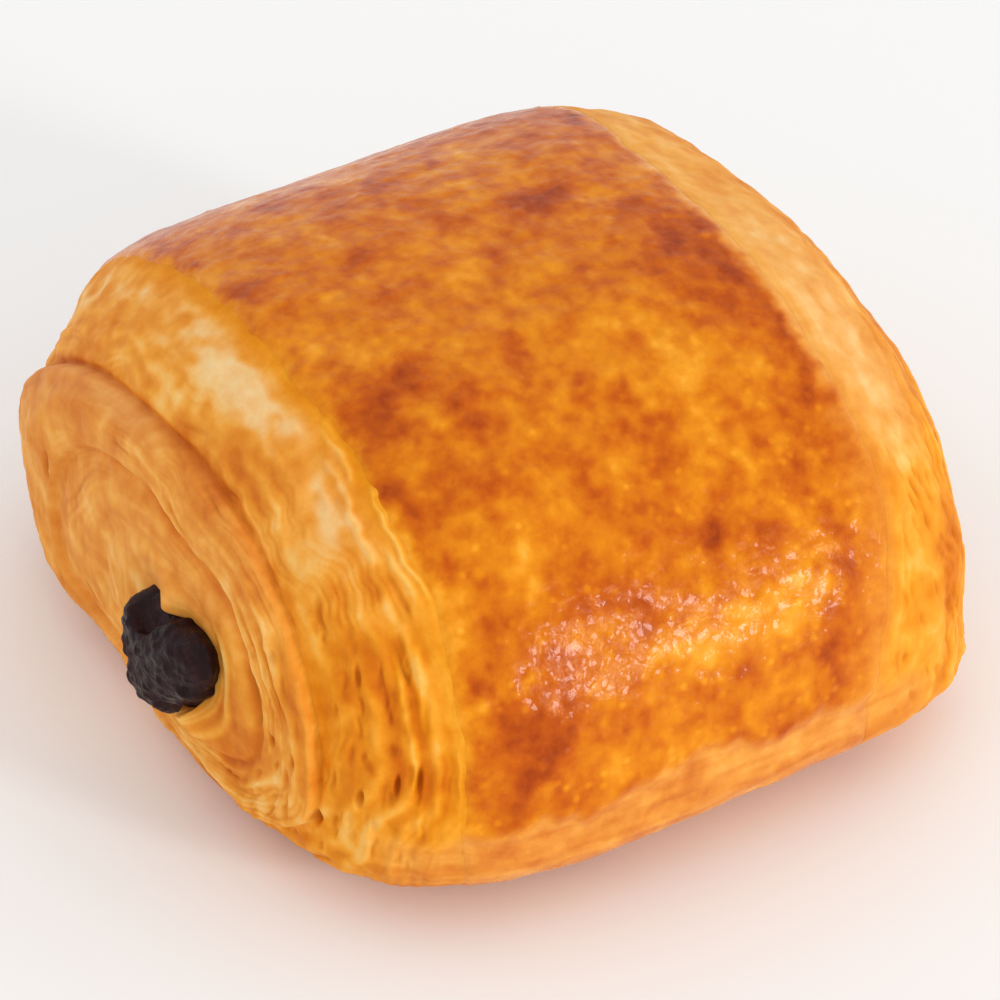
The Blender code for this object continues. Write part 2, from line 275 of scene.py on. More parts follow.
def rollSheet(name, points, values):
    # a flat sheet, rolled round the stick and joined to itself both ways into one closed skin
    columns, rings = points.shape[:2]
    bpy.ops.mesh.primitive_grid_add(x_subdivisions=columns - 1, y_subdivisions=rings - 1, size=1.0)
    sheet = bpy.context.object
    sheet.name = name
    sheet.data.name = name
    flat = np.empty(len(sheet.data.vertices) * 3)
    sheet.data.vertices.foreach_get("co", flat)
    flat = flat.reshape(-1, 3)
    column = np.rint((flat[:, 0] + 0.5) * (columns - 1)).astype(int)
    ring = np.rint((flat[:, 1] + 0.5) * (rings - 1)).astype(int)
    sheet.data.vertices.foreach_set("co", points[column, ring].ravel())
    for key, value in values.items():
        kind = "FLOAT_VECTOR" if value.ndim == 3 else "FLOAT"
        store = sheet.data.attributes.new(key, kind, "POINT")
        store.data.foreach_set("vector" if value.ndim == 3 else "value", value[column, ring].ravel())
    bpy.ops.object.mode_set(mode="EDIT")
    bpy.ops.mesh.select_all(action="SELECT")
    bpy.ops.mesh.remove_doubles(threshold=0.001 * mm)
    bpy.ops.mesh.normals_make_consistent(inside=False)
    bpy.ops.object.mode_set(mode="OBJECT")
    bpy.ops.object.shade_smooth()
    bpy.ops.object.select_all(action="DESELECT")
    print(name + ":", len(sheet.data.polygons), "faces")
    return sheet


# glazed crust

crust = {  # the browned middle of the roll
    "columns": 560,
    "rings": 150,
    "innerRings": 7,
    "baseShare": 0.3,  # how many columns pass under the base, against as much of the skin in view
    "leftEdge": -19.3 * mm,
    "rightEdge": 17.0 * mm,
    "leftFlare": 0.8 * mm,
    "rightCut": 3.6 * mm,
    "lowFlank": (0.35 * np.pi, 0.53 * np.pi),  # angles from the crown over which flare and cut set in
    "edgeWaves": ((0.2 * mm, 3.0), (0.15 * mm, 7.0)),  # height, and waves in a turn
    "edgeFrays": ((0.7 * mm, 12.0, 3), (0.3 * mm, 50.0, 4)),  # depth, frays in half a turn, and seed
    "frayEnds": (0.9 * np.pi, 0.97 * np.pi),
    "tucked": 0.8 * mm,  # how far the crust runs on past each edge, where it dips
    "edgeDip": 0.8 * mm,
    "rise": 0.65 * mm,  # how proud the crust stands of the skirt and the ends
    "skin": 1.5 * mm,
    "baseSkin": 0.6 * mm,
    "wrinkles": (0.03 * mm, 0.8, 57, 1),
}

skirt = {  # the paler foot, whose ragged border is higher over the middle of each flank
    "height": 9.8 * mm,
    "middleRise": 2.0 * mm,
    "middle": -1.0 * mm,
    "middleReach": 14.0 * mm,
    "wobble": (1.3 * mm, (5.0, 20.0, 1.0), 8, 3),
    "borderFade": (-1.6 * mm, 0.6 * mm),
    "tone": 0.49,
    # painted highlight: the top of the skirt is paler, where its rolled hem catches the light
    "litTopPaler": 0.05,
    "litTopSpan": (7.0 * mm, 9.5 * mm),
    "streaks": (0.16, (7.0, 7.0, 1.1), 15, 3),
}

blisters = {  # small round bubbles of the egg wash, thicker on the near flank
    "tries": 900,
    "seed": 5,
    "nearFlank": (12.0 * mm, 30.0 * mm),
    "elsewhere": 0.25,
    "lowest": 10.0 * mm,
    "radii": (0.22 * mm, 0.55 * mm),
    "heights": (0.03 * mm, 0.11 * mm),
    "paleness": (0.03, 0.15),
    "palest": 0.26,
    "roundness": 1.4,
}

crustTone = {  # browning, where 0 is pale dough and 1 is nearly burnt
    "mean": 0.56,
    # painted shade: the far side is browned a little more, for the dull haze that glancing light gives the
    # far top
    "farSide": 0.07,
    "farShadeSpan": (2.0 * mm, 16.0 * mm),
    "broad": (0.09, 9.0, 11, 2),
    "patches": (0.155, (3.4, 4.4, 4.4), 23, 3),
    "flecks": (1.0, 1.1, 37, 1),
    "fleckShare": 0.09,
    "markShare": 0.75,
    "range": (0.38, 0.82),
    "blisterShare": 0.8,
    "left": (0.32, 0.46),  # along the edge, low down and over the top
    "right": (0.47, 0.37),
    "edgeSpan": (0.22 * np.pi, 0.36 * np.pi),
    "leftFoot": 0.12,
    "leftFootEnd": 0.14 * np.pi,
    "edgeFray": (0.9 * mm, (2.6, 2.2, 2.2), 14, 3),
    "leftFade": (-0.2 * mm, 1.2 * mm),
    "rightFade": (1.8 * mm, 2.8 * mm),  # its width over the top, and how much wider it is low down
    "lowRight": (0.14 * np.pi, 0.30 * np.pi),
    "rightRim": 0.09,
    "rimPlace": (2.0 * mm, 1.6 * mm),
    "rimSpan": (18.0 * mm, 26.0 * mm),
    "baseRim": 0.85,
    "baseRimSpan": (-2.2 * mm, -0.1 * mm),
    "blisterSpan": (12.0 * mm, 28.0 * mm),
    "skirtDry": 0.4,
    "rightGlaze": (0.8, 0.35),  # glaze low down at the right edge, and how much less there is over the top
}

crustMarks = (  # darker and lighter patches of the crust: x, y, z and radius in mm, and strength
    (-18.7, 11.8, 32.8, 0.9, 0.50), (-18.5, 6.0, 33.9, 1.2, 0.42), (-17.8, 4.2, 34.2, 0.9, 0.30),
    (-9.2, 3.7, 35.4, 0.9, 0.32), (-16.0, -12.2, 33.5, 0.9, 0.40), (-12.8, -10.6, 34.2, 1.3, 0.42),
    (-18.2, -17.7, 30.5, 1.0, 0.32), (-15.1, -32.7, 15.1, 2.0, 0.32), (-15.5, -31.5, 18.5, 1.8, 0.28),
    (-18.0, -29.4, 21.5, 0.8, 0.50), (2.4, -27.3, 25.6, 1.0, 0.36), (2.4, -32.5, 17.2, 1.1, 0.32),
    (9.4, -2.9, 35.6, 1.4, 0.20), (11.9, -6.8, 35.2, 2.4, 0.24), (16.3, -6.3, 34.5, 1.8, 0.26),
    (15.6, -24.3, 26.7, 1.0, 0.34), (-1.5, -20.1, 31.3, 1.2, 0.24), (5.0, 2.6, 35.7, 1.8, 0.30),
    (-6.2, -5.8, 35.2, 1.2, 0.14), (8.1, 3.3, 35.7, 1.4, 0.18), (4.6, -24.8, 27.6, 1.4, 0.16),
    (6.5, -28.1, 24.6, 1.6, 0.18), (-13.0, -15.5, 32.5, 5.0, 0.11), (-15.5, -20.0, 30.5, 4.0, 0.06),
    (12.8, -8.7, 34.9, 4.0, 0.15), (15.0, -15.0, 33.0, 3.5, 0.15), (16.5, -20.5, 29.5, 2.6, 0.22),
    (11.4, -21.8, 29.9, 2.0, 0.18), (-14.5, -31.0, 19.0, 4.5, 0.16), (4.0, -14.5, 33.8, 6.5, -0.10),
    (-5.0, -14.5, 33.6, 4.0, -0.10), (-18.2, -5.5, 33.8, 1.8, -0.16), (-15.2, -25.4, 27.2, 3.0, -0.10),
    (9.3, -21.3, 30.5, 3.0, -0.10), (-14.5, -1.5, 34.8, 4.0, -0.06), (-6.0, -24.5, 28.0, 4.5, 0.08),
    (8.5, -33.0, 14.0, 6.0, 0.15), (-4.0, -33.3, 13.5, 5.0, 0.05), (15.5, -31.5, 15.0, 4.0, 0.10),
    (3.0, -31.8, 19.0, 3.2, -0.24), (-9.5, -33.5, 14.0, 3.0, -0.16), (12.0, -32.5, 16.0, 3.5, 0.10),
    (-9.1, -2.8, 35.3, 3.0, 0.12), (3.6, -9.8, 35.1, 3.0, 0.14), (-9.8, -18.4, 32.1, 3.0, -0.08),
    (-12.8, -32.0, 18.3, 2.4, 0.12),
)

markFray = (0.8, 0.7)  # how steeply a mark fades, and how much the flecks change that


def crustEdge(angle, side):
    lowFlank = smoothStep(np.abs(angle - 0.5 * np.pi), *crust["lowFlank"])
    wave = sum(height * np.sin(count * angle + side) for height, count in crust["edgeWaves"])
    if side < 0:
        return crust["leftEdge"] + wave - crust["leftFlare"] * lowFlank
    return crust["rightEdge"] + wave - crust["rightCut"] * lowFlank


def raggedEdge(angle, side):
    # the same edge as the browned crust really has it, frayed by a millimetre or so
    fray = sum(depth * softNoise(count * angle / np.pi, 0.5, 0.5 * side, seed)
               for depth, count, seed in crust["edgeFrays"])
    return crustEdge(angle, side) + fray * (1.0 - smoothStep(np.abs(angle - 0.5 * np.pi), *crust["frayEnds"]))


def skirtShare(place):
    x, y, z = place
    wobble = mottling((x, y, 0.0), *skirt["wobble"])
    border = skirt["height"] + skirt["middleRise"] * bell(x, skirt["middle"], skirt["middleReach"])
    low, high = skirt["borderFade"]
    return 1.0 - smoothStep(z + wobble, border + low, border + high)


def skirtTone(place):
    # a painted highlight along the top of the skirt
    paler = skirt["litTopPaler"] * smoothStep(place[2], *skirt["litTopSpan"])
    return skirt["tone"] - paler + mottling(place, *skirt["streaks"])


def edgeTone(angle, side):
    # how brown the dough is where the crust begins, low on the near side and over the top
    look = crustTone
    low, high = look["left"] if side < 0 else look["right"]
    foot = look["leftFoot"] * (1.0 - smoothStep(angle, 0.0, look["leftFootEnd"])) if side < 0 else 0.0
    return low + foot + (high - low) * smoothStep(angle, *look["edgeSpan"])


def edgeGlaze(angle, side):
    # the egg wash ran over the left edge, and low down over the right one
    low, less = crustTone["rightGlaze"]
    return 1.0 if side < 0 else low - less * smoothStep(angle, *crustTone["lowRight"])


def markSum(place, marks, flecks):
    steep, frayed = markFray
    total = 0.0
    for *centre, radius, strength in marks:
        away = sum((coordinate - middle * mm) ** 2 for coordinate, middle in zip(place, centre))
        total = total + strength * np.exp(-away / (radius * mm) ** 2 * (steep + frayed * flecks))
    return total


def blisterField(place):
    # their height, and how much paler they are
    x, y, z = place
    random = np.random.default_rng(blisters["seed"])
    height = np.zeros_like(x)
    paleness = np.zeros_like(x)
    columns, rings = x.shape
    for _ in range(blisters["tries"]):
        spot = (random.integers(0, columns), random.integers(0, rings))
        nearFlank = float(smoothStep(-y[spot], *blisters["nearFlank"]))
        share = blisters["elsewhere"] + (1.0 - blisters["elsewhere"]) * nearFlank
        if random.random() > share or z[spot] < blisters["lowest"]:
            continue
        radius = random.uniform(*blisters["radii"])
        away = (x - x[spot]) ** 2 + (y - y[spot]) ** 2 + (z - z[spot]) ** 2
        dome = np.exp(-(away / radius ** 2) ** blisters["roundness"])
        height = height + dome * random.uniform(*blisters["heights"])
        paleness = paleness + dome * random.uniform(*blisters["paleness"])
    return height, np.minimum(paleness, blisters["palest"])


def crustBrowning(place):
    # the far side's extra browning is painted shade
    farSide = smoothStep(place[1], *crustTone["farShadeSpan"])
    flecks = mottling(place, *crustTone["flecks"])
    tone = crustTone["mean"] + crustTone["farSide"] * farSide + mottling(place, *crustTone["broad"])
    tone = tone + mottling(place, *crustTone["patches"]) + crustTone["fleckShare"] * flecks
    return tone + crustTone["markShare"] * markSum(place, crustMarks, flecks)


def crustPlaces(angles, stations):
    # the smooth body at each column and station, by the meridians of the left half and the right one
    halves = [Meridians(angles, side) for side in (-1.0, 1.0)]
    places = [half.points(half.runAtX(np.clip(stations, *limits)))
              for half, limits in zip(halves, ((-1.0, 0.0), (0.0, 1.0)))]
    return tuple(np.where(stations < 0.0, left, right) for left, right in zip(*places))


def crustValues(place, angle, fromLeft, fromRight, onSkirt, paleSpots):
    # towards both edges the crust takes on the tone and the glaze that the ends have there
    look = crustTone
    fray = mottling(place, *look["edgeFray"])
    leftShare = smoothStep(fromLeft - crust["tucked"] + fray, *look["leftFade"])
    over, wider = look["rightFade"]
    lowRight = 1.0 - smoothStep(angle, *look["lowRight"])
    rightShare = smoothStep((fromRight - crust["tucked"] + fray) / (over + wider * lowRight), -0.1, 1.0)

    leftTone = edgeTone(angle, -1.0)
    rightTone = edgeTone(angle, 1.0)
    browning = np.clip(crustBrowning(place), *look["range"]) - look["blisterShare"] * paleSpots
    browning = leftTone + (browning - leftTone) * leftShare
    rim = bell(fromRight, *look["rimPlace"]) * smoothStep(place[2], *look["rimSpan"])
    browning = browning + look["rightRim"] * rim
    browning = rightTone + (browning - rightTone) * rightShare
    browning = browning + (skirtTone(place) - browning) * onSkirt
    browning = browning + (look["baseRim"] - browning) * smoothStep(-place[2], *look["baseRimSpan"])

    rightGlaze = edgeGlaze(angle, 1.0)
    glaze = (1.0 - look["skirtDry"] * onSkirt) * (rightGlaze + (1.0 - rightGlaze) * rightShare)
    least = blisters["elsewhere"]
    blistered = least + (1.0 - least) * smoothStep(-place[1], *look["blisterSpan"])
    blistered = blistered * (1.0 - onSkirt) * leftShare * rightShare
    return {"browning": browning, "glaze": glaze, "blistered": blistered}


def makeCrust():
    angles = columnAngles(crust["columns"], crust["baseShare"])
    angle = angles[:, None]
    left = raggedEdge(angle, -1.0) - crust["tucked"]
    right = raggedEdge(angle, 1.0) + crust["tucked"]
    stations = left + (right - left) * np.linspace(0.0, 1.0, crust["rings"])[None, :]
    place = crustPlaces(angles, stations)
    onSkirt = skirtShare(place)
    domes, paleSpots = blisterField(place)

    offBase = smoothStep(place[2], 0.0, roll["baseFade"])
    fromEdge = np.minimum(stations - left, right - stations) / (2.0 * crust["tucked"])
    dip = crust["edgeDip"] * (1.0 - np.clip(fromEdge, 0.0, 1.0)) ** 2
    relief = mottling(place, *crust["wrinkles"]) + domes * (1.0 - onSkirt)
    height = unevenness(place) + sharedBumps(place) + relief - crust["rise"] * onSkirt - dip
    outer = raisedSkin(place, height * offBase)
    inner = raisedSkin(place, -crust["skin"] * offBase - crust["baseSkin"] * (1.0 - offBase))
    picks = np.linspace(crust["rings"] - 1, 0, crust["innerRings"]).astype(int)
    points = np.concatenate([outer, inner[:, picks], outer[:, :1]], axis=1)

    values = crustValues(place, angle, stations - left, right - stations, onSkirt, paleSpots)
    for key, value in values.items():
        values[key] = np.concatenate([value, value[:, picks], value[:, :1]], axis=1)
    return rollSheet("pastry_crust", points, values)


# layered dough ends

doughEnd = {  # what both ends share
    "columns": 400,
    "rings": 222,
    "innerRings": 12,
    "baseShare": 0.35,
    "seamColumns": 16,
    "outerTurns": 0.75,  # turns of dough that count as the outer one, and from which they count as inner
    "innerTurns": 0.9,
    "underCrust": 2.2 * mm,
    "tuckDepth": 1.0 * mm,
    "tuckSpan": (0.1 * mm, 1.3 * mm),
    "backWall": 13.0 * mm,
    "backShrink": 0.9,
    "lowNear": (22.0, 60.0),
    "farSide": (150.0, 185.0),
    "farInner": (95.0, 140.0),
    "apart": 0.9 * mm,  # how wide the layers stay plain beside an inner fold line of the far side
    "nearCrust": (0.3 * mm, 3.4 * mm),
    "bumps": (0.12 * mm, 2.4, 12, 3),
    "dimple": 0.7 * mm,
    "dimpleReach": 0.10,
}

folds = {  # where one turn of dough meets the next: turns from the far side, and reach from hole to skin
    "turns": (-0.25, -0.1, 0.0, 0.055, 0.12, 0.25, 0.5, 1.0, 1.25, 1.5, 2.0, 2.75),
    "reach": (0.93, 0.88, 0.83, 0.72, 0.64, 0.615, 0.53, 0.475, 0.335, 0.27, 0.205, 0.0),
    "across": 4,
    "wanders": ((0.55 * mm, 7.0, 61), (0.22 * mm, 26.0, 62)),  # height, waves in a turn, and seed
    "wanderSpan": ((0.0, 0.15), (2.2, 2.6)),
    "depth": 0.9 * mm,
    "grooveWidth": 0.45 * mm,
    "fullDepthWidth": 4.0 * mm,
    "grooves": (0.25, 0.16, 0.34, 0.06, 0.0),  # share of the depth, from the crust's edge in to the hole
    "firstDeeper": 0.32,
    "firstSpan": (0.45 * np.pi, 0.62 * np.pi),
    "firstWobble": (0.5, 5.0, 63),
    "depthMiddle": (0.35, 0.65),
    "closedSpan": (0.50 * np.pi, 0.74 * np.pi),
    "bulge": 0.5 * mm,
    "bulgePower": 2.4,
    "bulgeSpan": (60.0, 105.0),
    "liftStarts": (0.68, 0.85),
    "liftFades": (1.0, 1.4),
    "liftFaded": 0.85,
    "farStep": (0.92 * np.pi, 0.13 * np.pi),
}

layers = {  # thin baked sheets, edge on
    # a noise that runs with them is its strength, size along them in mm, stretch across, level and seed
    "turnLength": (150.0, -22.0),  # in mm, and how much shorter each turn further in is
    "count": (5.2, -1.2),
    "wanders": ((1.1, 11.0, 0.18, 0.3, 0), (0.42, 3.4, 0.4, 0.7, 1)),
    "height": 0.26 * mm,
    "ridgePower": 1.4,
    "ridgeMean": 0.35,
    "strength": (0.9, 7.0, 5.17, 0.5, 2),
    "strengthMean": 0.5,
    "strengthRange": (0.1, 1.2),
    "leaves": 3.0,  # still thinner leaves in each sheet
    "leafHeight": 0.09 * mm,
    "leafMean": 0.6,
    "leafWander": (0.6, 1.8, 2.0, 4.5, 5),
    "leafPatches": (1.0, 5.0, 0.7, 9.5, 6),
    "leafSpan": (-0.1, 0.5),
    "slitDepth": 0.40 * mm,
    "slitWidth": 0.10,
    "slitPatches": (1.0, 4.0, 3.71, 1.5, 3),
    "slitSpan": (0.3, 0.6),
    "fine": (0.06 * mm, 1.4, 4.0, 2.5, 4),
    "plainness": 0.55,
    "flakiness": 0.6,
    "fullWidth": 5.0 * mm,
    "onBelt": 0.75,  # how much of the relief the belt takes away
    "onFarInner": 0.45,
}

belt = {  # smooth band beside the crust, which stretched round the roll without splitting
    "middle": 0.45,
    "spread": 0.5,
    "startLength": 34.0,
    "farFaded": 0.7,
    "flakyLeast": 0.4,
    "paleSpan": (24.0, 42.0),
    "crownSpan": (84.0, 116.0),
}

strands = {  # thin bright strands low down along the crust's edge
    # distance from the edge and width in mm, and level in the noise
    "places": ((0.45, 0.20, 1.0), (1.25, 0.26, 2.0), (2.2, 0.30, 3.0), (3.3, 0.30, 4.0)),
    "wander": 0.45 * mm,
    "wanderLength": 17.0,
    "patchLength": 13.0,
    "span": ((-14.0, 20.0), (62.0, 88.0)),
    "rise": 0.26 * mm,
}

lace = {  # little open cells where the butter steamed out, drawn out along the layers
    "count": 240,
    "halfLengths": (0.3 * mm, 1.1 * mm),
    "halfWidths": (0.16 * mm, 0.34 * mm),
    "depths": (0.2, 0.9),
    "bend": 0.25 * mm,
    "bendSize": 0.9 * mm,
    "depth": 0.38 * mm,
    "angles": (-40.0, 200.0),
    "nearLess": 0.2,  # taken off the near side's share, so that it ends sooner
    "farShare": 0.35,
    "least": 0.25,  # share from which a cell may open
    "cellPower": 1.3,
    "pocketPower": 1.5,
    "pocketShare": 1.3,
    "innerSpan": (1.5, 1.9),
    "footSpan": (3.0 * mm, 7.0 * mm),
    "lineSpan": (0.5 * mm, 1.2 * mm),
}

endTone = {  # browning, where 0 is pale dough and 1 is nearly burnt
    "mean": 0.38,
    "patches": (0.13, 3.6, 15, 3),
    "flecks": (1.0, 1.3, 17, 1),
    "blotches": (0.12, 2.6, 18, 2),
    "grain": (0.07, 6.0, 0.8, 3.5, 16),
    "range": (0.20, 0.80),
    "marks": 0.60,
    "fleckShare": 0.07,
    # painted shade: browner in the grooves and in the hollows
    "grooves": 0.26,
    "hollows": 0.14,
    "strands": -0.22,
    "lowNear": -0.06,
    "belt": -0.04,
    # painted light and shade: the tops of the thin leaves are paler
    "leaves": -0.16,
    "ridges": (0.06, 0.20, 0.4),  # painted light and shade, ridge tops paler and the gaps browner: everywhere, where it is flaky, and the mean height that stays as it is
    "pale": 0.31,  # the belt where it is bare
    "paleCrown": 0.10,
    "paleInner": (0.14, 3.0 * mm, 7.5 * mm),
    "paleShare": 0.85,
    "edgeShare": 0.8,
    # a browner band on the second turn's edge past the crown, partly its own colour and partly painted shade
    # under the lip
    "pink": 0.06,
    "pinkSpan": (100.0, 130.0),
    "pinkAcross": (0.45, 0.8),
    "base": 0.14,
    "baseSpan": (-5.0 * mm, -0.5 * mm),
    "footSpan": (3.0 * mm, 9.0 * mm),
}

endWash = {  # how far the egg wash shows, from dry to fully washed
    "inner": 0.55,
    "outerTurn": 0.2,
    "pale": -0.35,
    "strands": 0.4,
    "lowNear": 0.2,
    # the band under the lip is drier, partly painted shade
    "pinkShadeBand": -0.4,
    "paleTone": (0.42, 0.18),  # dough paler than this is dry where the belt is
    "foot": 0.6,
    "deep": (0.35, 0.8, 0.6),  # how dark the painted shade in grooves, slits and hollows is
}

leftEnd = {  # the end in view
    "name": "pastry_left_end",
    "side": -1.0,
    "seed": 100,
    "lift": 1.0 * mm,
    "farSteps": (-0.8 * mm, 1.2 * mm),
    "beltWidth": 5.6 * mm,
    "beltStart": 28.0,
    "beltPale": 0.0,
    "beltDry": 0.7,
    "edgeDip": 0.18 * mm,
    "edgeRelief": 0.65,
    "edgeSpread": 1.5 * mm,
    "edgeStrands": 0.12,
    "strands": 1.0,
    "pinkShadeBand": 1.0,
    "hugs": (  # where the dough rises round the melted chocolate: angle, spread and height
        (0.51 * np.pi, 0.12 * np.pi, 1.3 * mm), (-0.22 * np.pi, 0.11 * np.pi, 2.3 * mm)),
    "pockets": (  # holes between the layers: x, y, z, half length, half width and depth in mm
        (-26.8, -22.7, 9.0, 0.75, 0.42, 1.1), (-29.4, -18.7, 13.4, 0.4, 0.3, 0.6),
        (-28.9, -21.6, 13.4, 0.5, 0.3, 0.7), (-22.9, -29.5, 14.9, 1.1, 0.24, 0.8),
        (-24.2, -28.6, 14.3, 0.8, 0.22, 0.6), (-25.8, -26.4, 12.4, 0.7, 0.3, 0.6),
        (-28.9, 15.9, 15.9, 1.0, 0.45, 0.6), (-24.5, -24.0, 21.5, 0.8, 0.25, 0.4)),
    "marks": (  # browner and paler places: x, y, z and radius in mm, and strength
        (-22.4, 0.7, 32.7, 3.0, -0.18), (-22.9, -3.6, 32.0, 3.0, -0.22), (-24.3, -16.6, 28.2, 2.6, -0.28),
        (-23.8, -10.5, 30.2, 2.4, 0.20), (-26.0, 2.2, 28.4, 2.2, -0.14), (-25.2, -6.2, 28.9, 2.4, 0.24),
        (-25.4, -10.4, 27.8, 2.2, 0.20), (-26.4, 19.1, 20.6, 2.8, 0.24), (-27.2, 12.0, 24.8, 2.8, 0.16),
        (-27.0, 5.2, 27.2, 2.0, 0.12), (-29.1, 10.2, 22.3, 2.4, 0.24), (-29.1, 3.4, 25.0, 2.2, 0.14),
        (-29.9, -13.8, 10.4, 2.8, 0.34), (-23.9, -24.5, 23.0, 1.8, 0.20), (-23.7, -26.3, 20.6, 2.2, 0.22),
        (-27.4, -21.2, 18.5, 2.4, 0.18), (-24.0, -29.5, 9.6, 3.2, -0.16), (-26.2, -26.8, 8.2, 2.2, -0.10),
        (-23.5, -29.0, 14.5, 2.4, 0.12), (-28.9, 15.5, 15.9, 1.8, 0.14), (-21.6, -30.2, 15.3, 2.2, 0.30),
        (-21.9, -27.9, 20.2, 2.0, 0.24), (-24.6, -27.2, 16.2, 1.8, 0.16), (-24.1, -28.9, 10.7, 1.8, 0.14),
        (-28.7, -14.5, 19.9, 2.2, -0.14), (-29.1, -17.3, 8.1, 2.0, -0.18)),
}

rightEnd = {  # the end that is turned away
    "name": "pastry_right_end",
    "side": 1.0,
    "seed": 200,
    "lift": 0.3 * mm,
    "farSteps": (0.0, 0.0),
    "beltWidth": 7.5 * mm,
    "beltStart": -50.0,
    "beltPale": 1.0,
    "beltDry": 0.0,
    "edgeDip": 0.06 * mm,
    "edgeRelief": 0.25,
    "edgeSpread": 0.8 * mm,
    "edgeStrands": 0.0,
    "strands": 0.35,
    "pinkShadeBand": 0.0,
    "hugs": (),
    "pockets": (),
    "marks": (
        (26.0, -20.0, 22.0, 4.0, 0.16), (27.0, -8.0, 24.0, 4.0, 0.12), (22.5, -27.5, 17.0, 2.6, 0.16),
        (29.0, 6.0, 14.0, 5.0, 0.14), (25.0, 14.0, 24.0, 4.0, 0.14), (20.4, -30.5, 15.7, 4.0, 0.16)),
}


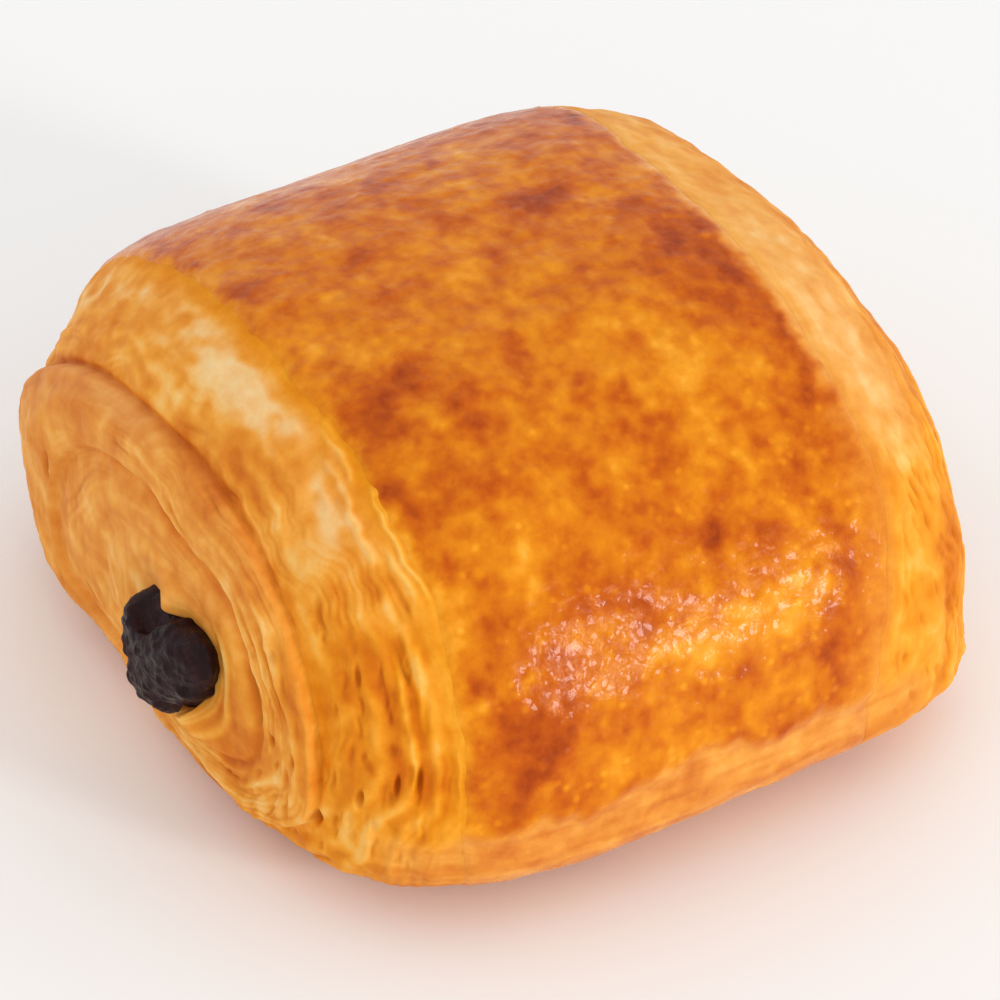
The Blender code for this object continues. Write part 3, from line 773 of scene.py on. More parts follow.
class EndFace:
    # one end of the roll as a grid, and what each point needs to know of crust, hole, folds and layers
    def __init__(self, end):
        self.end = end
        self.body = Meridians(columnAngles(doughEnd["columns"], doughEnd["baseShare"]), end["side"])
        self.angles = self.body.angles
        self.edgeRun = self.body.runAtX(raggedEdge(self.angles, end["side"]))
        self.holeRun = self.body.runAtReach(np.zeros_like(self.angles))
        share = np.linspace(0.0, 1.0, doughEnd["rings"])[None, :]
        self.runs = self.holeRun + (self.edgeRun + doughEnd["underCrust"] - self.holeRun) * share
        self.spacing = self.runs[:, 1:2] - self.runs[:, :1]
        self.place = self.body.points(self.runs)
        self.degrees = np.degrees(self.angles) + 0.0 * self.runs
        self.onSkirt = skirtShare(self.place)
        self.findFolds()
        self.findZones()
        self.findLayers()
        self.findStrands()
        self.findHollows()

    def mottled(self, strength, size, seed, octaves):
        return mottling(self.place, strength, size, self.end["seed"] + seed, octaves)

    def layerNoise(self, across, look, octaves=1):
        strength, size, stretch, level, seed = look
        along = self.along / (size * mm)
        return strength * layeredNoise(along, across * stretch, level, self.end["seed"] + seed, octaves)

    def foldLine(self, turns):
        # how far from the hole it runs, and before its first turn it closes up to the crust's edge
        run = self.body.runAtReach(np.maximum(smoothCurve(turns, folds["turns"], folds["reach"]), 0.0))
        wander = sum(height * softNoise(count * turns, 1.5, 0.5 * self.end["side"], seed)
                     for height, count, seed in folds["wanders"])
        starts, ends = folds["wanderSpan"]
        run = run + wander * smoothStep(turns, *starts) * (1.0 - smoothStep(turns, *ends))
        return run + (self.edgeRun - run) * smoothStep(-turns, 0.0, 0.25)

    def findFolds(self):
        # the share of the way across each point's turn of dough, that turn's count, its width and its groove
        startTurn = (np.pi - self.angles) / (2.0 * np.pi)
        inside = [self.foldLine(startTurn + fold) for fold in range(folds["across"] - 1)]
        lines = [self.edgeRun] + inside + [self.holeRun]
        self.across, self.turns, self.width = np.zeros((3,) + self.runs.shape)
        for fold in range(folds["across"]):
            outer = lines[fold]
            inner = np.minimum(lines[fold + 1], outer)
            within = (self.runs <= outer) | (fold == 0)
            across = np.clip((self.runs - inner) / np.maximum(outer - inner, 1e-6), 0.0, 1.0)
            self.across = np.where(within, across, self.across)
            self.turns = np.where(within, startTurn + fold, self.turns)
            self.width = np.where(within, outer - inner, self.width)
        self.fold = np.rint(self.turns - startTurn)
        self.toLine = np.minimum(self.across, 1.0 - self.across) * self.width
        self.groove = bell(self.toLine, 0.0, folds["grooveWidth"])
        self.depth = self.grooveDepths() * np.minimum(1.0, self.width / folds["fullDepthWidth"])

    def grooveDepths(self):
        # the first groove is open all along, the second closes towards the far side, the others hardly show
        edge, first, second, third, hole = folds["grooves"]
        farClosed = 1.0 - smoothStep(self.angles, *folds["closedSpan"])
        first = first + folds["firstDeeper"] * smoothStep(self.angles, *folds["firstSpan"])
        wobble, waves, seed = folds["firstWobble"]
        first = first * (1.0 + wobble * softNoise(waves * self.angles, 0.5, 0.5, seed))
        lines = (edge, first, second * farClosed, third * farClosed, hole)
        outer = sum(np.where(self.fold == count, lines[count], 0.0) for count in range(4))
        inner = sum(np.where(self.fold == count, lines[count + 1], 0.0) for count in range(4))
        return folds["depth"] * (inner + (outer - inner) * smoothStep(self.across, *folds["depthMiddle"]))

    def findZones(self):
        self.toEdge = np.maximum(self.edgeRun - self.runs, 0.0)
        outer = self.turns < doughEnd["outerTurns"]
        self.outerTurn = (outer & (self.across > 0.0)) * 1.0
        self.nearCrust = self.outerTurn * (1.0 - smoothStep(self.toEdge, *doughEnd["nearCrust"]))
        self.deepGroove = self.groove * (1.0 - self.nearCrust) * self.depth / folds["depth"]
        self.lowNear = 1.0 - smoothStep(self.degrees, *doughEnd["lowNear"])
        self.farSide = smoothStep(self.degrees, *doughEnd["farSide"])
        inner = self.turns > doughEnd["innerTurns"]
        self.farInner = smoothStep(self.degrees, *doughEnd["farInner"]) * inner
        self.apart = 1.0 - self.farInner * bell(self.toLine, 0.0, doughEnd["apart"])
        start = self.end["beltStart"]
        shape = self.outerTurn * bell(self.toEdge / self.end["beltWidth"], belt["middle"], belt["spread"], 4)
        shape = shape * smoothStep(self.degrees, start, start + belt["startLength"])
        self.belt = shape * (1.0 - belt["farFaded"] * self.farSide)
        least = belt["flakyLeast"]
        zone = least + (1.0 - least) * np.maximum(self.lowNear, least * self.farSide)
        self.flaky = np.clip(1.0 - 0.9 * self.belt, 0.0, 1.0) * zone
        self.beyondCrown = smoothStep(self.degrees, *belt["crownSpan"])
        pale = self.belt * self.end["beltPale"] * smoothStep(self.degrees, *belt["paleSpan"])
        self.pale = pale * (1.0 - 0.5 * self.beyondCrown)
        self.atEdge = self.outerTurn * bell(self.toEdge, 0.0, self.end["edgeSpread"])
        # the band on the second turn's edge past the crown: partly its own browning, partly painted shade
        # under the lip
        pink = (self.fold == 1) * smoothStep(self.across, *endTone["pinkAcross"])
        self.pinkShadeBand = self.end["pinkShadeBand"] * pink * smoothStep(self.degrees, *endTone["pinkSpan"])

    def findLayers(self):
        # soft ridges along each turn that wander, fade and run together
        look = layers
        length, shorter = look["turnLength"]
        count, fewer = look["count"]
        self.along = (length * self.turns + shorter * self.turns ** 2) * mm
        sheet = self.across * (count + fewer * self.turns)
        self.layer = sheet + sum(self.layerNoise(sheet, wander) for wander in look["wanders"])
        ridge = (0.5 - 0.5 * np.cos(2.0 * np.pi * self.layer)) ** look["ridgePower"]
        strength = look["strengthMean"] + self.layerNoise(np.floor(self.layer), look["strength"])
        self.ridge = ridge * np.clip(strength, *look["strengthRange"])

        leaf = look["leaves"] * self.layer + self.layerNoise(self.layer, look["leafWander"])
        leafShare = smoothStep(self.layerNoise(self.layer, look["leafPatches"]), *look["leafSpan"])
        self.leaf = (np.abs(np.sin(np.pi * leaf)) - look["leafMean"]) * leafShare

        line = np.floor(self.layer + 0.5)
        gaping = smoothStep(self.layerNoise(line, look["slitPatches"]), *look["slitSpan"])
        self.slit = gaping * bell(self.layer, line, look["slitWidth"]) * self.flaky

        height = look["height"] * (self.ridge - look["ridgeMean"]) + look["leafHeight"] * self.leaf
        height = height + self.layerNoise(self.layer, look["fine"])
        height = height * (look["plainness"] + look["flakiness"] * self.flaky) - look["slitDepth"] * self.slit
        height = height * np.clip(self.width / look["fullWidth"], 0.25, 1.0)
        height = height * (1.0 - look["onBelt"] * self.belt) * (1.0 - look["onFarInner"] * self.farInner)
        self.relief = height * self.apart

    def findStrands(self):
        shape = 0.0
        seed = self.end["seed"]
        for place, spread, level in strands["places"]:
            wander = softNoise(self.degrees / strands["wanderLength"], level * 3.3, 0.5, seed + 31)
            patches = softNoise(self.degrees / strands["patchLength"], level * 7.7, 2.5, seed + 33)
            line = bell(self.toEdge, place * mm + strands["wander"] * wander, spread * mm)
            shape = shape + smoothStep(patches + 0.5, 0.2, 0.6) * line
        starts, ends = strands["span"]
        shape = shape * self.outerTurn * self.end["strands"]
        self.strands = shape * smoothStep(self.degrees, *starts) * (1.0 - smoothStep(self.degrees, *ends))

    def findHollows(self):
        # the lace low on the near side and on the far side, and the pockets that are set one by one
        least, most = lace["angles"]
        near = np.clip(self.lowNear - lace["nearLess"], 0.0, 1.0)
        near = near * (1.0 - smoothStep(self.turns, *lace["innerSpan"]))
        near = near * smoothStep(self.place[2], *lace["footSpan"]) * (self.degrees > least)
        far = lace["farShare"] * self.farSide * (self.degrees < most)
        where = np.maximum(near, far) * (1.0 - self.nearCrust) * smoothStep(self.toLine, *lace["lineSpan"])
        self.hollow = lacyCells(self.along, self.runs, where, self.end["seed"] + 41)
        self.sunk = 0.0
        for *centre, halfLength, halfWidth, depth in self.end["pockets"]:
            away = sum((coordinate - middle * mm) ** 2 for coordinate, middle in zip(self.place, centre))
            spot = np.unravel_index(np.argmin(away), away.shape)
            along = (self.along - self.along[spot]) / (halfLength * mm)
            across = (self.runs - self.runs[spot]) / (halfWidth * mm)
            sameTurn = np.abs(self.turns - self.turns[spot]) < 0.3
            opening = np.exp(-(along ** 2 + across ** 2) ** lace["pocketPower"]) * sameTurn
            self.sunk = self.sunk + (depth - 0.5) * mm * opening
            self.hollow = np.maximum(self.hollow, lace["pocketShare"] * opening)

    def easeFoldLines(self, values, spacing):
        # where a fold line passes between two rings, each takes a share of the other's value
        own = 0.5 + 0.5 * np.clip(self.toLine / spacing, 0.0, 1.0)
        inward = np.concatenate([values[:, :1], values[:, :-1]], axis=1)
        outward = np.concatenate([values[:, 1:], values[:, -1:]], axis=1)
        return own * values + (1.0 - own) * np.where(self.across < 0.5, inward, outward)


def lacyCells(along, across, where, seed):
    random = np.random.default_rng(seed)
    hollow = np.zeros_like(along)
    spots = np.argwhere(where > lace["least"])
    bend = lace["bend"] * softNoise(along / lace["bendSize"], across / lace["bendSize"], 0.5, seed + 1)
    for spot in spots[random.integers(0, len(spots), lace["count"])]:
        spot = tuple(spot)
        halfLength = random.uniform(*lace["halfLengths"])
        halfWidth = random.uniform(*lace["halfWidths"])
        away = ((along - along[spot]) / halfLength) ** 2 + ((across - across[spot] + bend) / halfWidth) ** 2
        cell = np.exp(-away ** lace["cellPower"]) * random.uniform(*lace["depths"])
        hollow = np.maximum(hollow, cell * where[spot])
    return hollow


def closeSeam(values):
    # the first and the last column are the same place, straight below the stick: their values meet half way
    fade = np.linspace(1.0, 0.0, doughEnd["seamColumns"])[:, None]
    gap = values[-1] - values[0]
    values[:len(fade)] += 0.5 * gap * fade
    values[-len(fade):] -= 0.5 * gap * fade[::-1]
    return values


def endHeight(face):
    end = face.end
    pillow = 1.0 - np.abs(2.0 * face.across - 1.0) ** folds["bulgePower"]
    pillow = pillow * (0.5 + 0.5 * smoothStep(face.degrees, *folds["bulgeSpan"]))
    middleTurn = face.turns - 0.5 * face.across
    lift = end["lift"] * smoothStep(middleTurn, *folds["liftStarts"])
    lift = lift * (1.0 - folds["liftFaded"] * smoothStep(middleTurn, *folds["liftFades"]))
    height = -crust["rise"] - face.depth * face.groove + folds["bulge"] * pillow + lift + face.relief

    # on the far side of the left end the outer turn sinks, and the next one stands up to a lip
    hollow, lip = end["farSteps"]
    sunk = hollow * (face.fold == 0) * 4.0 * face.across * (1.0 - face.across)
    raised = lip * (face.fold == 1) * 6.0 * face.across ** 3 * (1.0 - face.across) ** 0.7
    height = height + bell(face.angles, *folds["farStep"]) * (sunk + raised)
    height = face.easeFoldLines(height, 1.5 * face.spacing)

    # towards the crust the dough rises to meet it, and round the hole it dips or hugs the chocolate
    atCrust = -end["edgeDip"] * (1.0 - 0.5 * face.onSkirt) - crust["rise"] * face.onSkirt
    height = height + (atCrust + end["edgeRelief"] * face.relief - height) * face.nearCrust
    height = height + strands["rise"] * face.strands
    skinRun = face.body.runAtReach(np.ones_like(face.angles))
    fromHole = (face.runs - face.holeRun) / (skinRun - face.holeRun)
    nearHole = 1.0 - smoothStep(fromHole, 0.0, doughEnd["dimpleReach"])
    hugged = sum(rise * bell(face.angles, middle, spread) for middle, spread, rise in end["hugs"])
    height = height * (1.0 - nearHole) + (hugged - doughEnd["dimple"]) * nearHole

    height = height + sharedBumps(face.place) + face.mottled(*doughEnd["bumps"]) * (1.0 - face.nearCrust)
    height = height - face.sunk - lace["depth"] * face.hollow
    low, high = doughEnd["tuckSpan"]
    height = height - doughEnd["tuckDepth"] * smoothStep(face.runs, face.edgeRun + low, face.edgeRun + high)
    return closeSeam(height + unevenness(face.place)) * smoothStep(face.place[2], 0.0, roll["baseFade"])


def endBrowning(face):
    look = endTone
    end = face.end
    flecks = face.mottled(*look["flecks"])
    # ridge and leaf tops are painted paler and the gaps browner, a painted light and shade
    everywhere, flaky, level = look["ridges"]
    ridges = (everywhere + flaky * face.flaky) * (1.0 - 0.5 * face.farInner) * (face.ridge - level)
    tone = look["mean"] + look["lowNear"] * face.lowNear + face.mottled(*look["patches"])
    tone = tone + (face.layerNoise(face.layer, look["grain"], 2) - ridges) * face.apart
    tone = tone + look["leaves"] * face.flaky * face.apart * face.leaf + look["belt"] * face.belt
    tone = tone + look["marks"] * markSum(face.place, end["marks"], flecks) + look["fleckShare"] * flecks
    # painted shade in the grooves and hollows
    tone = tone + look["grooves"] * face.deepGroove + look["hollows"] * face.hollow
    tone = tone + look["strands"] * face.strands

    inner, low, high = look["paleInner"]
    paleTone = look["pale"] + look["fleckShare"] * flecks + face.mottled(*look["blotches"])
    paleTone = paleTone + look["paleCrown"] * face.beyondCrown + inner * smoothStep(face.toEdge, low, high)
    tone = tone + (paleTone - tone) * look["paleShare"] * face.pale
    atEdge = edgeTone(face.angles, end["side"]) - end["edgeStrands"] * face.strands
    tone = np.clip(tone + (atEdge - tone) * look["edgeShare"] * face.atEdge, *look["range"])
    # partly painted shade on the band under the lip
    return tone + look["pink"] * face.pinkShadeBand


def endValues(face):
    # where the dough is brown, where the egg wash reached it, how much painted shade its grooves, slits and
    # hollows get, and how its layers run
    look = endWash
    tone = endBrowning(face)
    glaze = look["inner"] + look["outerTurn"] * face.outerTurn * (1.0 - face.pale) + look["pale"] * face.pale
    glaze = glaze + look["strands"] * face.strands + look["lowNear"] * face.lowNear
    level, span = look["paleTone"]
    dry = face.end["beltDry"] * face.belt * smoothStep(level - tone, 0.0, span)
    glaze = glaze + look["pinkShadeBand"] * face.pinkShadeBand - dry
    glaze = glaze + (edgeGlaze(face.angles, face.end["side"]) - glaze) * face.atEdge
    foot = face.onSkirt * face.outerTurn * (1.0 - smoothStep(face.toEdge, *endTone["footSpan"]))
    tone = tone + (skirtTone(face.place) - tone) * foot
    tone = tone + endTone["base"] * smoothStep(-face.place[2], *endTone["baseSpan"])
    glaze = np.clip(glaze + (look["foot"] - glaze) * foot, 0.0, 1.0)
    # painted shade: how dark grooves, slits and hollows are drawn
    grooves, slits, hollows = look["deep"]
    crevice = np.clip(grooves * face.deepGroove + slits * face.slit + hollows * face.hollow, 0.0, 1.0)
    values = {"browning": tone, "glaze": glaze, "crevice": crevice}
    for key, value in values.items():
        values[key] = closeSeam(face.easeFoldLines(value, face.spacing))
    values["grain"] = np.stack([face.along / mm, face.layer, face.turns], axis=-1)
    return values


def backWall(front, side):
    # from the edge under the crust in to the back wall, across it, and out again along the hole
    first = front[:, 0]
    last = front[:, -1]
    backX = side * doughEnd["backWall"]
    shrink = doughEnd["backShrink"]
    axis = np.array([backX, (1.0 - shrink) * stick["y"], (1.0 - shrink) * stick["z"]])
    rim = last * np.array([0.0, shrink, shrink]) + axis
    bottom = first * np.array([0.0, 1.0, 1.0]) + np.array([backX, 0.0, 0.0])
    deep = np.linspace(0.0, 1.0, doughEnd["innerRings"])[1:, None, None]
    inwards = last + (rim - last) * deep[:3] * 3.0
    across = rim + (bottom - rim) * deep[::3]
    outwards = bottom + (first - bottom) * deep
    return np.concatenate([inwards, across, outwards], axis=0).transpose(1, 0, 2)


def makeDoughEnd(end):
    face = EndFace(end)
    front = raisedSkin(face.place, endHeight(face))
    wall = backWall(front, end["side"])
    values = endValues(face)
    for key, value in values.items():
        values[key] = np.concatenate([value, np.repeat(value[:, -1:], wall.shape[1], axis=1)], axis=1)
    return rollSheet(end["name"], np.concatenate([front, wall], axis=1), values)


# chocolate stick

chocolate = {  # the stick as it baked: its two ends, and how rough its skin is where it shows
    "columns": 150,
    "rings": 190,
    "capRings": 60,
    "left": -32.7 * mm,
    "right": 31.2 * mm,
    "rounding": 2.6 * mm,
    "bluntness": 0.6,
    # how far the left end ran out or drew back, in mm, every 30 degrees from the near side over the top
    "melted": (1.0, 2.5, 0.5, -2.0, -3.0, 0.0, -0.5, 0.0, 3.0, 2.0, -0.5, -1.0),
    "runOutSpan": (27.8 * mm, 30.2 * mm),
    "drawBackSpan": (29.2 * mm, 32.0 * mm),
    "lean": 0.2 * mm,
    "roughLeft": (4.8 * mm, 3.4 * mm),  # distance from the end at which its rough skin starts and is complete
    "roughRight": (2.2 * mm, 1.2 * mm),
    "lumps": (0.20 * mm, 1.6, 71, 2),
    "knobs": (0.28 * mm, 0.75, 74, 1),
    "pits": (1.0, 0.7, 77, 1),
    "pitDepth": 0.08 * mm,
    "pitSpan": (0.2, 0.7),
    "sunk": 0.13 * mm,  # so that lumps and knobs leave its size as it is
}


def chocolateForm():
    # a blunt-ended stick as columns round its axis and rings along it, whose left end melted out of shape
    look = chocolate
    angles = np.linspace(0.0, 2.0 * np.pi, look["columns"])[:, None]
    cap = np.linspace(0.0, 0.5 * np.pi, look["capRings"])
    ends = look["rounding"] * (1.0 - np.cos(cap))
    left = look["left"]
    right = look["right"]
    straight = look["rings"] - 2 * look["capRings"]
    body = np.linspace(left + look["rounding"], right - look["rounding"], straight + 2)[1:-1]
    stations = np.concatenate([left + ends, body, right - ends[::-1]])[None, :]
    sizes = np.concatenate([np.sin(cap), np.ones(straight), np.sin(cap[::-1])])[None, :] ** look["bluntness"]

    melted = np.append(look["melted"], look["melted"][0])
    sector = angles * (len(melted) - 1) / (2.0 * np.pi)
    step = np.clip(np.floor(sector), 0, len(melted) - 2).astype(int)
    run = mm * (melted[step] + (melted[step + 1] - melted[step]) * smoothStep(sector - step, 0.0, 1.0))
    drawn = smoothStep(-stations, *look["drawBackSpan"])
    ranOut = np.maximum(run, 0.0) * smoothStep(-stations, *look["runOutSpan"])
    drewBack = np.minimum(run, 0.0) * drawn * sizes ** 2
    y, z = fromStick(angles, (stickDistance(angles) + ranOut + drewBack) * sizes)
    return angles, sizes, (stations + 0.0 * y, y + look["lean"] * drawn, z)


def makeStick():
    look = chocolate
    angles, sizes, place = chocolateForm()
    x = place[0]
    leftStart, leftFull = look["roughLeft"]
    rightStart, rightFull = look["roughRight"]
    rough = smoothStep(-x, -look["left"] - leftStart, -look["left"] - leftFull)
    rough = rough + smoothStep(x, look["right"] - rightStart, look["right"] - rightFull)
    knobs = np.maximum(mottling(place, *look["knobs"]), 0.0)
    pits = look["pitDepth"] * smoothStep(mottling(place, *look["pits"]), *look["pitSpan"])
    push = (mottling(place, *look["lumps"]) + knobs - pits - look["sunk"]) * rough
    endOn = np.clip(1.0 - sizes ** 3, 0.0, 1.0)
    sideOn = 1.0 - endOn
    outward = np.stack([np.sign(x) * endOn, -np.cos(angles) * sideOn, np.sin(angles) * sideOn], axis=-1)
    outward = outward / np.maximum(np.linalg.norm(outward, axis=-1, keepdims=True), 1e-6)
    points = np.stack(place, axis=-1) + outward * push[..., None]
    for tip in (0, -1):
        points[:, tip] = points[:, tip].mean(axis=0)
    return rollSheet("chocolate_bar", points, {})


# materials

patterns = {  # real sizes of what the materials draw
    "mottling": 1.923 * mm,  # freckles where the dough's sugar browned
    "bubbles": 1.111 * mm,  # bubbles in the egg wash
    "glaze": 1.111 * mm,  # waves of the egg wash over them
    "melt": 1.111 * mm,  # duller and darker places of chocolate that melted
    "grit": 0.6667 * mm,  # its grain as it set again
    "streaks": (0.3, 1.6, 4.0),  # streaks in a millimetre along the layers, in a layer and in a turn
}


def toLinear(code):
    channels = [int(code[place:place + 2], 16) / 255.0 for place in (1, 3, 5)]
    return tuple(c / 12.92 if c <= 0.04045 else ((c + 0.055) / 1.055) ** 2.4 for c in channels) + (1.0,)


def addNode(tree, kind, settings, links=()):
    # settings go to properties or inputs by name, stops to a ramp, and links join inputs to other outputs
    node = tree.nodes.new(kind)
    for key, value in settings.items():
        if key == "stops":
            ramp = node.color_ramp
            while len(ramp.elements) < len(value):
                ramp.elements.new(0.5)
            for element, (place, code) in zip(ramp.elements, value):
                element.position = place
                element.color = toLinear(code)
        elif isinstance(key, int) or key in node.inputs:
            node.inputs[key].default_value = value
        else:
            setattr(node, key, value)
    for key, source in links:
        tree.links.new(source, node.inputs[key])
    return node


def newMaterial(name):
    material = bpy.data.materials.new(name)
    material.use_nodes = True
    material.node_tree.nodes.clear()
    return material, material.node_tree


def doughColour(tree, browning, glaze):
    # dry dough browns from cream through biscuit to russet, egg-washed dough through amber to mahogany
    dry = addNode(tree, "ShaderNodeValToRGB", {"stops": (
        (0.0, "#FBE5C0"), (0.18, "#F7CF92"), (0.36, "#F1B062"), (0.54, "#E6964A"), (0.72, "#CF783A"),
        (0.88, "#AC572C"), (1.0, "#843C1E"))}, [("Fac", browning)])
    washed = addNode(tree, "ShaderNodeValToRGB", {"stops": (
        (0.0, "#FDDDA0"), (0.15, "#FBC05E"), (0.3, "#F7A428"), (0.44, "#E78B0C"), (0.57, "#D87403"),
        (0.7, "#C65A00"), (0.85, "#A83F00"), (1.0, "#762400"))}, [("Fac", browning)])
    mixed = addNode(tree, "ShaderNodeMix", {"data_type": "RGBA"},
                    [(0, glaze), (6, dry.outputs["Color"]), (7, washed.outputs["Color"])])
    return mixed.outputs[2]


def glazedCrustMaterial():
    # egg-washed and baked: mottled gold to red brown under a thin uneven glaze
    material, tree = newMaterial("egg_washed_crust")
    place = addNode(tree, "ShaderNodeTexCoord", {}).outputs["Object"]
    browning, glaze, blistered = [addNode(tree, "ShaderNodeAttribute", {"attribute_name": name})
                                  for name in ("browning", "glaze", "blistered")]
    freckles = {"Scale": 1.0 / patterns["mottling"], "Detail": 4.0, "Roughness": 0.6}
    mottle = addNode(tree, "ShaderNodeTexNoise", freckles, [("Vector", place)])
    shifted = addNode(tree, "ShaderNodeMath", {"operation": "MULTIPLY_ADD", 1: 0.6},
                      [(0, mottle.outputs["Fac"]), (2, browning.outputs["Fac"])])
    level = addNode(tree, "ShaderNodeMath", {"operation": "SUBTRACT", 1: 0.30}, [(0, shifted.outputs[0])])

    # pale dots where the wash bubbled, in some of the cells alone
    cells = addNode(tree, "ShaderNodeTexVoronoi", {"Scale": 1.0 / patterns["bubbles"]}, [("Vector", place)])
    dots = addNode(tree, "ShaderNodeMapRange", {"From Min": 0.36, "From Max": 0.12, "To Max": 0.14},
                   [("Value", cells.outputs["Distance"])])
    picked = addNode(tree, "ShaderNodeMapRange", {"From Min": 0.35, "From Max": 0.8},
                     [("Value", cells.outputs["Color"])])
    shown = addNode(tree, "ShaderNodeMath", {"operation": "MULTIPLY"},
                    [(0, picked.outputs["Result"]), (1, blistered.outputs["Fac"])])
    lightened = addNode(tree, "ShaderNodeMath", {"operation": "MULTIPLY"},
                        [(0, dots.outputs["Result"]), (1, shown.outputs[0])])
    dotted = addNode(tree, "ShaderNodeMath", {"operation": "SUBTRACT"},
                     [(0, level.outputs[0]), (1, lightened.outputs[0])])
    colour = doughColour(tree, dotted.outputs[0], glaze.outputs["Fac"])

    thickness = {"Scale": 1.0 / patterns["glaze"], "Detail": 2.0, "Roughness": 0.5}
    waves = addNode(tree, "ShaderNodeTexNoise", thickness, [("Vector", place)])
    bubbled = addNode(tree, "ShaderNodeMath", {"operation": "MULTIPLY_ADD", 1: 0.8},
                      [(0, waves.outputs["Fac"]), (2, cells.outputs["Distance"])])
    glazeBump = addNode(tree, "ShaderNodeBump", {"Strength": 0.5, "Distance": 0.2 * mm, "invert": True},
                        [("Height", bubbled.outputs[0])])
    bump = addNode(tree, "ShaderNodeBump", {"Strength": 0.6, "Distance": 0.26 * mm},
                   [("Height", waves.outputs["Fac"])])
    roughness = addNode(tree, "ShaderNodeMapRange",
                        {"From Min": 0.3, "From Max": 0.7, "To Min": 0.22, "To Max": 0.36},
                        [("Value", mottle.outputs["Fac"])])
    shader = addNode(tree, "ShaderNodeBsdfPrincipled", {
        "Specular IOR Level": 0.13, "Specular Tint": toLinear("#FFE6C4"), "Subsurface Weight": 0.08,
        "Coat Weight": 0.14, "Coat Roughness": 0.12,
        "Subsurface Radius": (0.9, 0.4, 0.12), "Subsurface Scale": 1.0 * mm},
        [("Base Color", colour), ("Roughness", roughness.outputs["Result"]),
         ("Normal", bump.outputs["Normal"]), ("Coat Normal", glazeBump.outputs["Normal"])])
    addNode(tree, "ShaderNodeOutputMaterial", {}, [("Surface", shader.outputs[0])])
    return material


def layeredDoughMaterial():
    # butter dough baked dry where little egg wash reached: cream to toffee, matt, with painted shade, a
    # deeper brown, between its leaves and in its grooves and hollows
    material, tree = newMaterial("baked_layered_dough")
    place = addNode(tree, "ShaderNodeTexCoord", {}).outputs["Object"]
    browning, glaze, crevice, grain = [addNode(tree, "ShaderNodeAttribute", {"attribute_name": name})
                                       for name in ("browning", "glaze", "crevice", "grain")]
    stretch = addNode(tree, "ShaderNodeMapping", {"Scale": patterns["streaks"]},
                      [("Vector", grain.outputs["Vector"])])
    streaks = addNode(tree, "ShaderNodeTexNoise", {"Scale": 1.0, "Detail": 3.0, "Roughness": 0.5},
                      [("Vector", stretch.outputs["Vector"])])
    freckles = {"Scale": 1.0 / patterns["mottling"], "Detail": 4.0, "Roughness": 0.65}
    mottle = addNode(tree, "ShaderNodeTexNoise", freckles, [("Vector", place)])
    streaked = addNode(tree, "ShaderNodeMath", {"operation": "MULTIPLY_ADD", 1: 0.18},
                       [(0, streaks.outputs["Fac"]), (2, browning.outputs["Fac"])])
    mottled = addNode(tree, "ShaderNodeMath", {"operation": "MULTIPLY_ADD", 1: 0.34},
                      [(0, mottle.outputs["Fac"]), (2, streaked.outputs[0])])
    level = addNode(tree, "ShaderNodeMath", {"operation": "SUBTRACT", 1: 0.26}, [(0, mottled.outputs[0])])
    base = doughColour(tree, level.outputs[0], glaze.outputs["Fac"])
    # painted shade: crevices are mixed towards a deep brown
    deep = addNode(tree, "ShaderNodeMath", {"operation": "MULTIPLY", 1: 0.7}, [(0, crevice.outputs["Fac"])])
    colour = addNode(tree, "ShaderNodeMix", {"data_type": "RGBA", 7: toLinear("#B8640F")},
                     [(0, deep.outputs[0]), (6, base)])
    bump = addNode(tree, "ShaderNodeBump", {"Strength": 0.5, "Distance": 0.16 * mm},
                   [("Height", mottled.outputs[0])])
    roughness = addNode(tree, "ShaderNodeMapRange",
                        {"From Min": 0.3, "From Max": 0.7, "To Min": 0.5, "To Max": 0.68},
                        [("Value", mottle.outputs["Fac"])])
    shader = addNode(tree, "ShaderNodeBsdfPrincipled", {
        "Specular IOR Level": 0.1, "Subsurface Weight": 0.2,
        "Subsurface Radius": (1.0, 0.5, 0.2), "Subsurface Scale": 1.4 * mm},
        [("Base Color", colour.outputs[2]), ("Roughness", roughness.outputs["Result"]),
         ("Normal", bump.outputs["Normal"])])
    addNode(tree, "ShaderNodeOutputMaterial", {}, [("Surface", shader.outputs[0])])
    return material


def bakedChocolateMaterial():
    # dark chocolate that softened and set again in the oven: nearly black, half dull, with small wet glints
    material, tree = newMaterial("baked_dark_chocolate")
    place = addNode(tree, "ShaderNodeTexCoord", {}).outputs["Object"]
    bloom = {"Scale": 1.0 / patterns["melt"], "Detail": 4.0, "Roughness": 0.6}
    blotches = addNode(tree, "ShaderNodeTexNoise", bloom, [("Vector", place)])
    colour = addNode(tree, "ShaderNodeValToRGB", {"stops": (
        (0.3, "#17060A"), (0.55, "#270F13"), (0.75, "#3D2428"))}, [("Fac", blotches.outputs["Fac"])])
    roughness = addNode(tree, "ShaderNodeMapRange",
                        {"From Min": 0.35, "From Max": 0.65, "To Min": 0.3, "To Max": 0.6},
                        [("Value", blotches.outputs["Fac"])])
    grit = addNode(tree, "ShaderNodeTexNoise", {"Scale": 1.0 / patterns["grit"], "Detail": 2.0},
                   [("Vector", place)])
    bump = addNode(tree, "ShaderNodeBump", {"Strength": 0.8, "Distance": 0.2 * mm},
                   [("Height", grit.outputs["Fac"])])
    shader = addNode(tree, "ShaderNodeBsdfPrincipled", {"Specular IOR Level": 0.14},
                     [("Base Color", colour.outputs["Color"]), ("Roughness", roughness.outputs["Result"]),
                      ("Normal", bump.outputs["Normal"])])
    addNode(tree, "ShaderNodeOutputMaterial", {}, [("Surface", shader.outputs[0])])
    return material


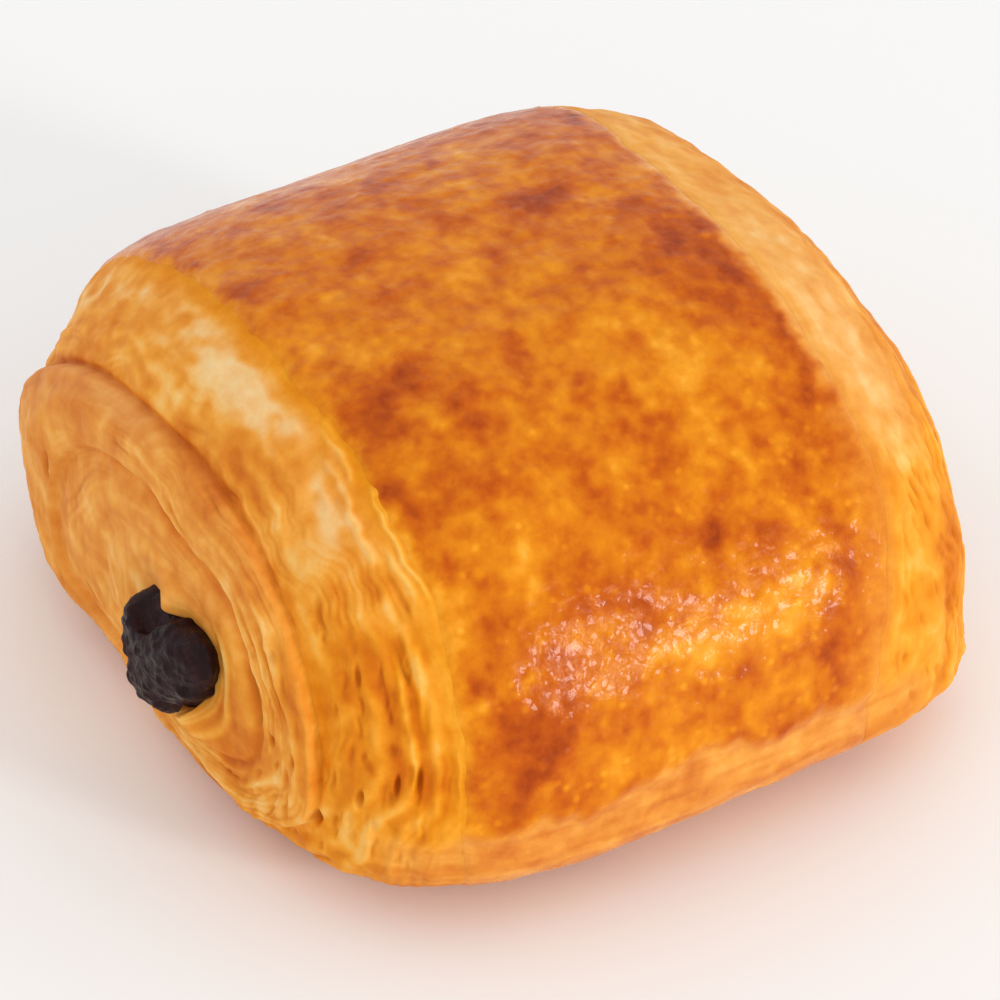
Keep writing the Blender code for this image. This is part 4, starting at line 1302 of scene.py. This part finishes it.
def floorMaterial():
    # matt white paper sweep
    material, tree = newMaterial("white_sweep")
    shader = addNode(tree, "ShaderNodeBsdfPrincipled", {"Base Color": toLinear("#FCFCFB"), "Roughness": 0.9})
    addNode(tree, "ShaderNodeOutputMaterial", {}, [("Surface", shader.outputs[0])])
    return material


# studio

studio = {  # angles in degrees, lens and sensor in mm, and the other lengths in metres
    "aim": (3.7 * mm, 4.7 * mm, 7.4 * mm),
    "azimuth": -30.1,
    "elevation": 38.48,
    "distance": 386.4 * mm,
    "lens": 178.7,
    "sensor": 36.0,
    "clip": (0.01, 20.0),
    "floorSize": 4.0,
    "floorDrop": 0.02 * mm,  # so that the base and the floor don't share a plane
    "keyDirection": (0.37, -0.88, 0.29),
    "keyDistance": 0.9,
    "keySize": 0.13,
    "keyPower": 2.4,
    "sky": "#FFFFFF",
    "skyStrength": 0.89,
}


def makeCamera():
    azimuth = math.radians(studio["azimuth"])
    elevation = math.radians(studio["elevation"])
    back = Vector((math.sin(azimuth) * math.cos(elevation), -math.cos(azimuth) * math.cos(elevation),
                   math.sin(elevation)))
    bpy.ops.object.camera_add(location=back * studio["distance"])
    camera = bpy.context.object
    camera.name = "photo_camera"
    toAim = Vector(studio["aim"]) - camera.location
    camera.rotation_euler = toAim.to_track_quat("-Z", "Y").to_euler()
    camera.data.lens = studio["lens"]
    camera.data.sensor_width = studio["sensor"]
    camera.data.clip_start, camera.data.clip_end = studio["clip"]
    bpy.context.scene.camera = camera


def makeLights():
    direction = Vector(studio["keyDirection"]).normalized()
    bpy.ops.object.light_add(type="AREA", location=direction * studio["keyDistance"])
    key = bpy.context.object
    key.name = "front_softbox"
    key.rotation_euler = direction.to_track_quat("Z", "Y").to_euler()
    key.data.shape = "SQUARE"
    key.data.size = studio["keySize"]
    key.data.energy = studio["keyPower"]
    world = bpy.data.worlds.new("white_studio")
    world.use_nodes = True
    sky = world.node_tree.nodes["Background"]
    sky.inputs["Color"].default_value = toLinear(studio["sky"])
    sky.inputs["Strength"].default_value = studio["skyStrength"]
    bpy.context.scene.world = world


def makeFloor():
    bpy.ops.mesh.primitive_plane_add(size=studio["floorSize"], location=(0.0, 0.0, -studio["floorDrop"]))
    floor = bpy.context.object
    floor.name = "floor"
    floor.data.materials.append(floorMaterial())
    bpy.ops.object.select_all(action="DESELECT")


def dress(piece, material, node):
    piece.data.materials.append(material)
    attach(piece, "root")
    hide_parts(node)


makeCamera()
makeLights()
makeFloor()
bpy.context.scene.view_settings.view_transform = "Standard"
print("camera, lights and floor set")

dough = layeredDoughMaterial()
dress(makeDoughEnd(leftEnd), dough, "pastry")
dress(makeDoughEnd(rightEnd), dough, "pastry")
dress(makeCrust(), glazedCrustMaterial(), "pastry")
dress(makeStick(), bakedChocolateMaterial(), "chocolate_stick")
print("pieces dressed")
